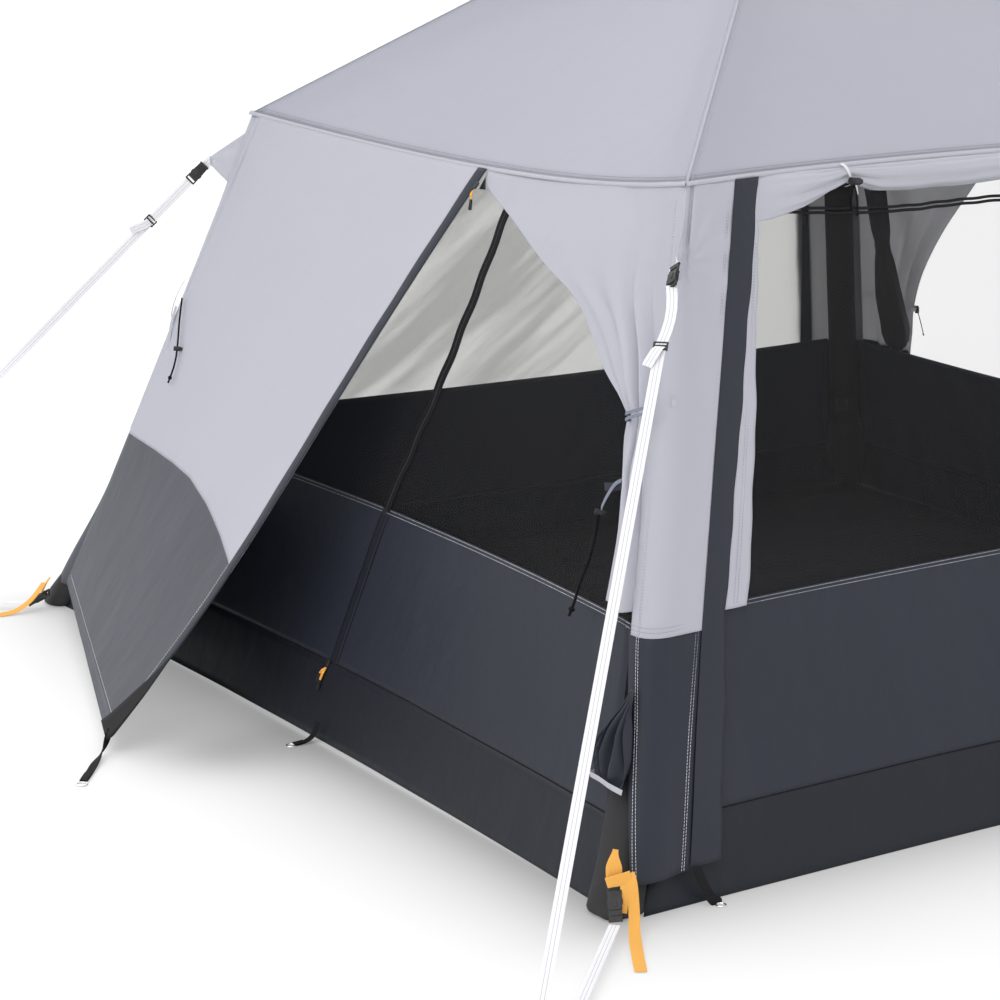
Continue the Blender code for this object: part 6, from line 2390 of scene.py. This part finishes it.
@dataclass
class Seams(Assembly):
    """Welts over the hips and eaves, the peak's patch, and every row of stitches."""

    roof_rows: tuple[float, ...] = (0.010, 0.017)
    patch_half: float = 0.085
    inset: Table = ((0.05, -0.022), (0.135, -0.004), (0.363, 0.048))

    def hips(self, sewing: Thread) -> None:
        """Make the welts over the hips and their stitches."""
        for corner in Corner:
            side = turned((DIAGONAL, -DIAGONAL, 0.0), corner)
            line = [SHAPE.roof(Face(corner.value), -1.0, share) for share in steps(80, 0.004, 0.985)]
            mesh = band("hip", [p + UP * 0.0010 for p in line], side, 0.007, 0.0014)
            add_piece(f"{corner.name.lower()}_hip_welt", mesh, self.finish.roof, "light_fabric")
            for shift in (-0.011, 0.011):
                sewing.row([p + side * shift - UP * (abs(shift) * 0.49 - 0.0010) for p in line])

    def eaves(self, sewing: Thread) -> None:
        """Make the welts along the eaves and their stitches."""
        for face in Face:
            grid = [[SHAPE.wall(face, u, 1.0035, 0.0060), SHAPE.wall(face, u, 1.0, 0.0080),
                     SHAPE.wall(face, u, 0.9965, 0.0080)] for u in steps(124, -1.005, 1.005)]
            add_sheet(f"{face.name.lower()}_eave_welt", grid, self.finish.light, "light_fabric", "stretched",
                      ["roof_canopy"], (), 0.0016)
            for share in self.roof_rows:
                sewing.row([SHAPE.roof(face, u, share) + UP * 0.0010 for u in steps(120, -0.985, 0.985)])

    def peak(self) -> None:
        """Make the patch over the peak."""

        def point(a: float, b: float) -> Vector:
            """A point of the patch, by its shares of the patch's half side."""
            x, y = a * self.patch_half, b * self.patch_half
            far = max(abs(x), abs(y)) / SHAPE.eave_half
            z = mix(SHAPE.peak_z, SHAPE.eave_z, far) + 0.0018 + 0.004 * (1 - abs(a)) * (1 - abs(b))
            return Vector((x, y, z))

        grid = grid_of(steps(16, -1.0, 1.0), steps(16, -1.0, 1.0), point)
        add_sheet("peak_patch", grid, self.finish.roof, "light_fabric", "stretched", ["roof_canopy"], (),
                  0.0012, 1.0)

    def covers(self, light: Thread, soft: Thread) -> None:
        """Stitch the corner covers."""
        wide_after = (Corner.FRONT_LEFT, Corner.REAR_RIGHT)
        for corner in Corner:
            def row(sewing: Thread, sign: int, inset: Callable[[float], float], out: float,
                    span: tuple[int, float, float], place: Corner = corner) -> None:
                """Sew down a cover's edge, at a distance from the corner that depends on the share."""
                sewing.row([SHAPE.around(place, sign * inset(s), s, out) for s in steps(*span)])

            for gap in (0.0, 0.006):
                soft.row([SHAPE.around(corner, d, 0.379 + gap, 0.0052) for d in steps(40, -0.11, 0.165)])
                for sign in (-1, 1):
                    if sign < 0 and corner == Corner.FRONT_LEFT:
                        row(light, -1, lambda s, g=gap: table(self.inset, s) + g * 1.5, 0.0038,
                            (60, 0.056, 0.37))
                        row(soft, -1, lambda s, g=gap: 0.045 + g, 0.0052, (80, 0.376, 0.975))
                        continue
                    reach = 0.166 if (sign > 0) == (corner in wide_after) else 0.108
                    row(light, sign, lambda s, r=reach, g=gap: r - 0.004 - g * 1.4, 0.0040, (60, 0.056, 0.37))
                    row(soft, sign, lambda s, r=reach, g=gap: r - g, 0.0056, (80, 0.38, 0.975))

    def doors(self, soft: Thread) -> None:
        """Stitch the light door edges beside the zip covers."""
        for corner, sign in DOOR_SIDES:
            cover = ZipCover(self.finish, corner, sign)
            for share in (0.35, 0.50):
                line = []
                for s in steps(80, 0.40, 0.90):
                    reach = sign * mix(table(cover.far, s), table(cover.light, s), share)
                    line.append(SHAPE.around(corner, reach, s, 0.0085))
                soft.row(line)

    def walls(self, light: Thread, dark: Thread) -> None:
        """Stitch the lower walls at their top and at the skirt's seam."""
        for face, top in WALL_TOPS.items():
            wall = Wall(self.finish, face, top)
            for z in (top - 0.004, top - 0.013):
                light.row([wall.point(u, z, 0.0012) for u in steps(120, -0.92, 0.92)])
            for z in (wall.seam_z + 0.004, wall.seam_z + 0.012):
                dark.row([wall.point(u, z, 0.0012) for u in steps(120, -0.92, 0.92)])
        for shift in (-0.020, 0.020):
            dark.row([SHAPE.wall_at(Face.LEFT, 0.020 + shift, z, -0.0105) for z in steps(12, 0.012, 0.19)])

    def flap(self, light: Thread, soft: Thread) -> None:
        """Stitch the pulled-out flap."""
        shape = LeftFlap(self.finish)

        def along(gap: float, low: float, high: float) -> list[Vector]:
            """A row beside the zip cover, between two places down the free edge."""
            width = shape.band_width + 0.006 + gap
            return [shape.point(shape.inner(d, width), d, 0.0010) for d in steps(140, low, high)]

        for gap in (0.0, 0.006):
            light.row(along(gap, 0.66, 0.955))
            soft.row(along(gap, 0.02, 0.64))
            soft.row([
                shape.point(o, table(shape.boundary, o) - 0.006 - gap, 0.0010) for o in steps(80, 0.01, 0.95)
            ])
        light.row([shape.point(o, 0.981, 0.0012) for o in steps(80, 0.02, 0.96)])

    def build(self) -> None:
        """Make all welts, then sew each group."""
        soft = Thread(self.finish.soft_thread)
        self.hips(soft)
        self.eaves(soft)
        self.peak()
        soft.sew("roof_stitches", "light_fabric")
        light = Thread(self.finish.thread)
        self.covers(light, soft)
        self.doors(soft)
        soft.sew("cover_light_stitches", "light_fabric")
        light.sew("cover_dark_stitches", "dark_fabric")
        dark = Thread(self.finish.dark_thread)
        self.walls(light, dark)
        dark.sew("skirt_stitches", "dark_fabric")
        light.sew("wall_stitches", "dark_fabric")
        self.flap(light, soft)
        soft.sew("flap_light_stitches", "light_fabric")
        light.sew("flap_dark_stitches", "dark_fabric")


class Stage:
    """Floor, lights and camera."""

    camera_place = Vector((-5.482, -7.162, 2.627))
    camera_turn = (76.631, 0.0, -31.942)
    lens = 103.3
    floor_reach = 70.0
    # These set the painted shadow on the floor round the tent's footprint and under the flap.
    footprint = 1.705
    shade_reach = 0.23
    shade_power = 1.2
    side_shade = 0.70
    front_shade = 0.42
    flap_shadow_spot = (-2.00, -0.02, 0.22, 0.33)
    floor_white = (0.80, 0.80, 0.80)
    seen_white = (0.90, 0.90, 0.90)
    shade_dark = 0.15
    own_light = 0.40
    own_strength = 1.06
    under_flap = {"From Min": 0.05, "From Max": 0.40, "To Min": 1.0, "To Max": 0.65}
    lamps = (
        ("key", 0.95, 55.0, (0.55, 0.25, -1.0)),
        ("back", 1.10, 60.0, (-0.30, -0.70, -0.62)),
    )

    def camera(self) -> None:
        """Place the photograph's camera."""
        data = bpy.data.cameras.new("camera")
        data.lens = self.lens
        data.sensor_width = 36.0
        data.clip_end = 300.0
        made = bpy.data.objects.new("camera", data)
        made.location = self.camera_place
        made.rotation_euler = [math.radians(a) for a in self.camera_turn]
        bpy.context.scene.collection.objects.link(made)
        bpy.context.scene.camera = made

    def floor(self) -> None:
        """A pale seamless floor that keeps the tent's shadow, with a painted shadow along its walls and a
        painted shadow spot under the flap.
        """
        tree = Tree("floor_paint")
        path, place, parts = tree.add("LightPath"), tree.add("TexCoord"), tree.add("SeparateXYZ")
        tree.link(place.outputs["Object"], parts.inputs[0])
        x, y = parts.outputs[0], parts.outputs[1]
        # Painted shadow: darker near the footprint and fading with distance, stronger beside the left and
        # right walls than beside the front and rear.
        gaps = []
        for along in (x, y):
            past = tree.math("SUBTRACT", tree.math("ABSOLUTE", along, 0.0), self.footprint)
            gaps.append(tree.math("POWER", tree.math("MAXIMUM", past, 0.0), 2.0))
        gap = tree.math("SQRT", tree.math("ADD", *gaps), 0.0)
        fade = tree.math("POWER", tree.math("DIVIDE", gap, self.shade_reach), self.shade_power)
        fade = tree.math("EXPONENT", tree.math("MULTIPLY", fade, -1.0), 0.0)
        sideways = tree.math("DIVIDE", gaps[0], tree.math("ADD", tree.math("ADD", *gaps), 0.0001))
        strength = tree.math("MULTIPLY", sideways, self.side_shade - self.front_shade)
        strength = tree.math("ADD", strength, self.front_shade)
        # The painted shadow is weaker from the flap towards the rear.
        covered = tree.add("MapRange", self.under_flap)
        tree.link(y, covered.inputs["Value"])
        shade = tree.math("MULTIPLY", tree.math("MULTIPLY", fade, strength), covered.outputs[0])
        # A painted shadow spot under the flap.
        spot_x, spot_y, spread, depth = self.flap_shadow_spot
        squares = [tree.math("POWER", tree.math("DIVIDE", tree.math("SUBTRACT", along, middle), spread), 2.0)
                   for along, middle in ((x, spot_x), (y, spot_y))]
        spot = tree.math("EXPONENT", tree.math("MULTIPLY", tree.math("ADD", *squares), -1.0), 0.0)
        shade = tree.math("ADD", shade, tree.math("MULTIPLY", spot, depth))
        dark = tuple(c * self.shade_dark for c in self.floor_white)
        tree.link(tree.blend(path.outputs["Is Camera Ray"], self.seen_white,
                             tree.blend(shade, self.floor_white, dark)), tree.shader.inputs["Base Color"])
        # The floor's own glow, seen by the camera, carries the same painted shadow.
        own = tree.add("Emission", {"Strength": self.own_strength})
        tree.link(tree.blend(shade, (1.0, 1.0, 1.0), (self.shade_dark,) * 3), own.inputs["Color"])
        both = tree.add("MixShader")
        tree.link(tree.math("MULTIPLY", path.outputs["Is Camera Ray"], self.own_light), both.inputs[0])
        tree.link(tree.shader.outputs[0], both.inputs[1])
        tree.link(own.outputs[0], both.inputs[2])
        tree.link(both.outputs[0], tree.output.inputs["Surface"])
        tree.surface(0.9, 0.0, 0.0)
        mesh = bpy.data.meshes.new("floor")
        r = self.floor_reach
        mesh.from_pydata([(-r, -r, 0), (r, -r, 0), (r, r, 0), (-r, r, 0)], [], [(0, 1, 2, 3)])
        mesh.materials.append(tree.material)
        made = bpy.data.objects.new("floor", mesh)
        bpy.context.scene.collection.objects.link(made)
        made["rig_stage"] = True

    def lights(self) -> None:
        """An even pale sky and two large soft lamps."""
        world = bpy.data.worlds.new("studio")
        bpy.context.scene.world = world
        world.use_nodes = True
        nodes, links = world.node_tree.nodes, world.node_tree.links
        base = nodes["Background"]
        base.inputs["Color"].default_value = (1.0, 1.0, 1.0, 1.0)
        base.inputs["Strength"].default_value = 1.0
        seen = nodes.new("ShaderNodeBackground")
        seen.inputs["Strength"].default_value = 1.0
        path = nodes.new("ShaderNodeLightPath")
        choose = nodes.new("ShaderNodeMixShader")
        links.new(path.outputs["Is Camera Ray"], choose.inputs[0])
        links.new(base.outputs[0], choose.inputs[1])
        links.new(seen.outputs[0], choose.inputs[2])
        links.new(choose.outputs[0], nodes["World Output"].inputs["Surface"])
        for name, energy, spread, heading in self.lamps:
            lamp = bpy.data.lights.new(name, "SUN")
            lamp.energy = energy
            lamp.angle = math.radians(spread)
            made = bpy.data.objects.new(name, lamp)
            made.rotation_euler = Vector(heading).to_track_quat("-Z", "Y").to_euler()
            bpy.context.scene.collection.objects.link(made)

    def build(self) -> None:
        """Set the whole stage."""
        self.camera()
        self.floor()
        self.lights()
        bpy.context.scene.view_settings.view_transform = "Standard"


NODE_FINISHES = {"_ring": "steel", "_runner": "plastic", "_valve": "plastic", "_cap": "plastic"}


def dress_nodes(finish: Finishes) -> None:
    """Give every frame node that is still shown its finish."""
    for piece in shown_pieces():
        if "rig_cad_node" not in piece:
            continue
        for ending, kind in NODE_FINISHES.items():
            if piece.name.endswith(ending):
                piece.material_slots[0].material = getattr(finish, kind)
                LOG.info("%s keeps its solid, in %s", piece.name, kind)


def main() -> None:
    """Load the frame, build every assembly in order and dress the frame's own nodes."""
    logging.basicConfig(level=logging.INFO, format="%(name)s %(message)s")
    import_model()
    Stage().build()
    finish = Finishes()
    Canopy(finish).build()
    near = CornerCover(finish, Corner.FRONT_LEFT, TIED_REACH, ZIPPED_REACH, upper=False)
    near.build()
    TiedDoor(finish).build(near)
    TiedFoot(finish).build()
    for corner, sign in DOOR_SIDES:
        ZipCover(finish, corner, sign, edged=corner in (Corner.FRONT_LEFT, Corner.FRONT_RIGHT)).build()
    FrontRoll(finish).build()
    CornerCover(finish, Corner.FRONT_RIGHT, ZIPPED_REACH, PLAIN_REACH).build()
    CornerCover(finish, Corner.REAR_RIGHT, PLAIN_REACH, ZIPPED_REACH).build()
    # The rear left cover's charcoal part takes the flap's lighter charcoal copy: painted light.
    CornerCover(finish, Corner.REAR_LEFT, ZIPPED_REACH, PLAIN_REACH, lower="flap_dark").build()
    for face, top in WALL_TOPS.items():
        Wall(finish, face, top, screened=face != Face.RIGHT).build()
    RearCover(finish).build()
    LeftFlap(finish).build()
    for name, mirrored, spans in SIDE_DOORS:
        SideDoor(finish, name, f"{name}_curtain", mirrored, spans).build()
    Sleeves(finish).build()
    Ground(finish).build()
    Straps(finish, "front_left", FRONT_LEFT_ROUTE, FRONT_LEFT_SLIDER, False, 0.012).build()
    Straps(finish, "rear_left", REAR_LEFT_ROUTE, REAR_LEFT_SLIDER, True).build()
    for name, place, along, face, length in BUCKLES:
        Buckle(finish, name, place, along, face, length).build()
    LeftFlap(finish).trim()
    for assembly in (FlapPeg, ScreenZip, FrontZip):
        assembly(finish).build()
    for name, path, side in STAKE_LOOPS:
        StakeLoop(finish, name, path, side).build()
    for corner in Corner:
        Gusset(finish, corner).build()
    FootWebbing(finish, "front_left", FRONT_FOOT).build()
    FootWebbing(finish, "rear_left", REAR_FOOT).build()
    for assembly in (CurtainTies, RollTies, Bundle, SideTies, Seams):
        assembly(finish).build()
    dress_nodes(finish)


if __name__ == "__main__":
    main()
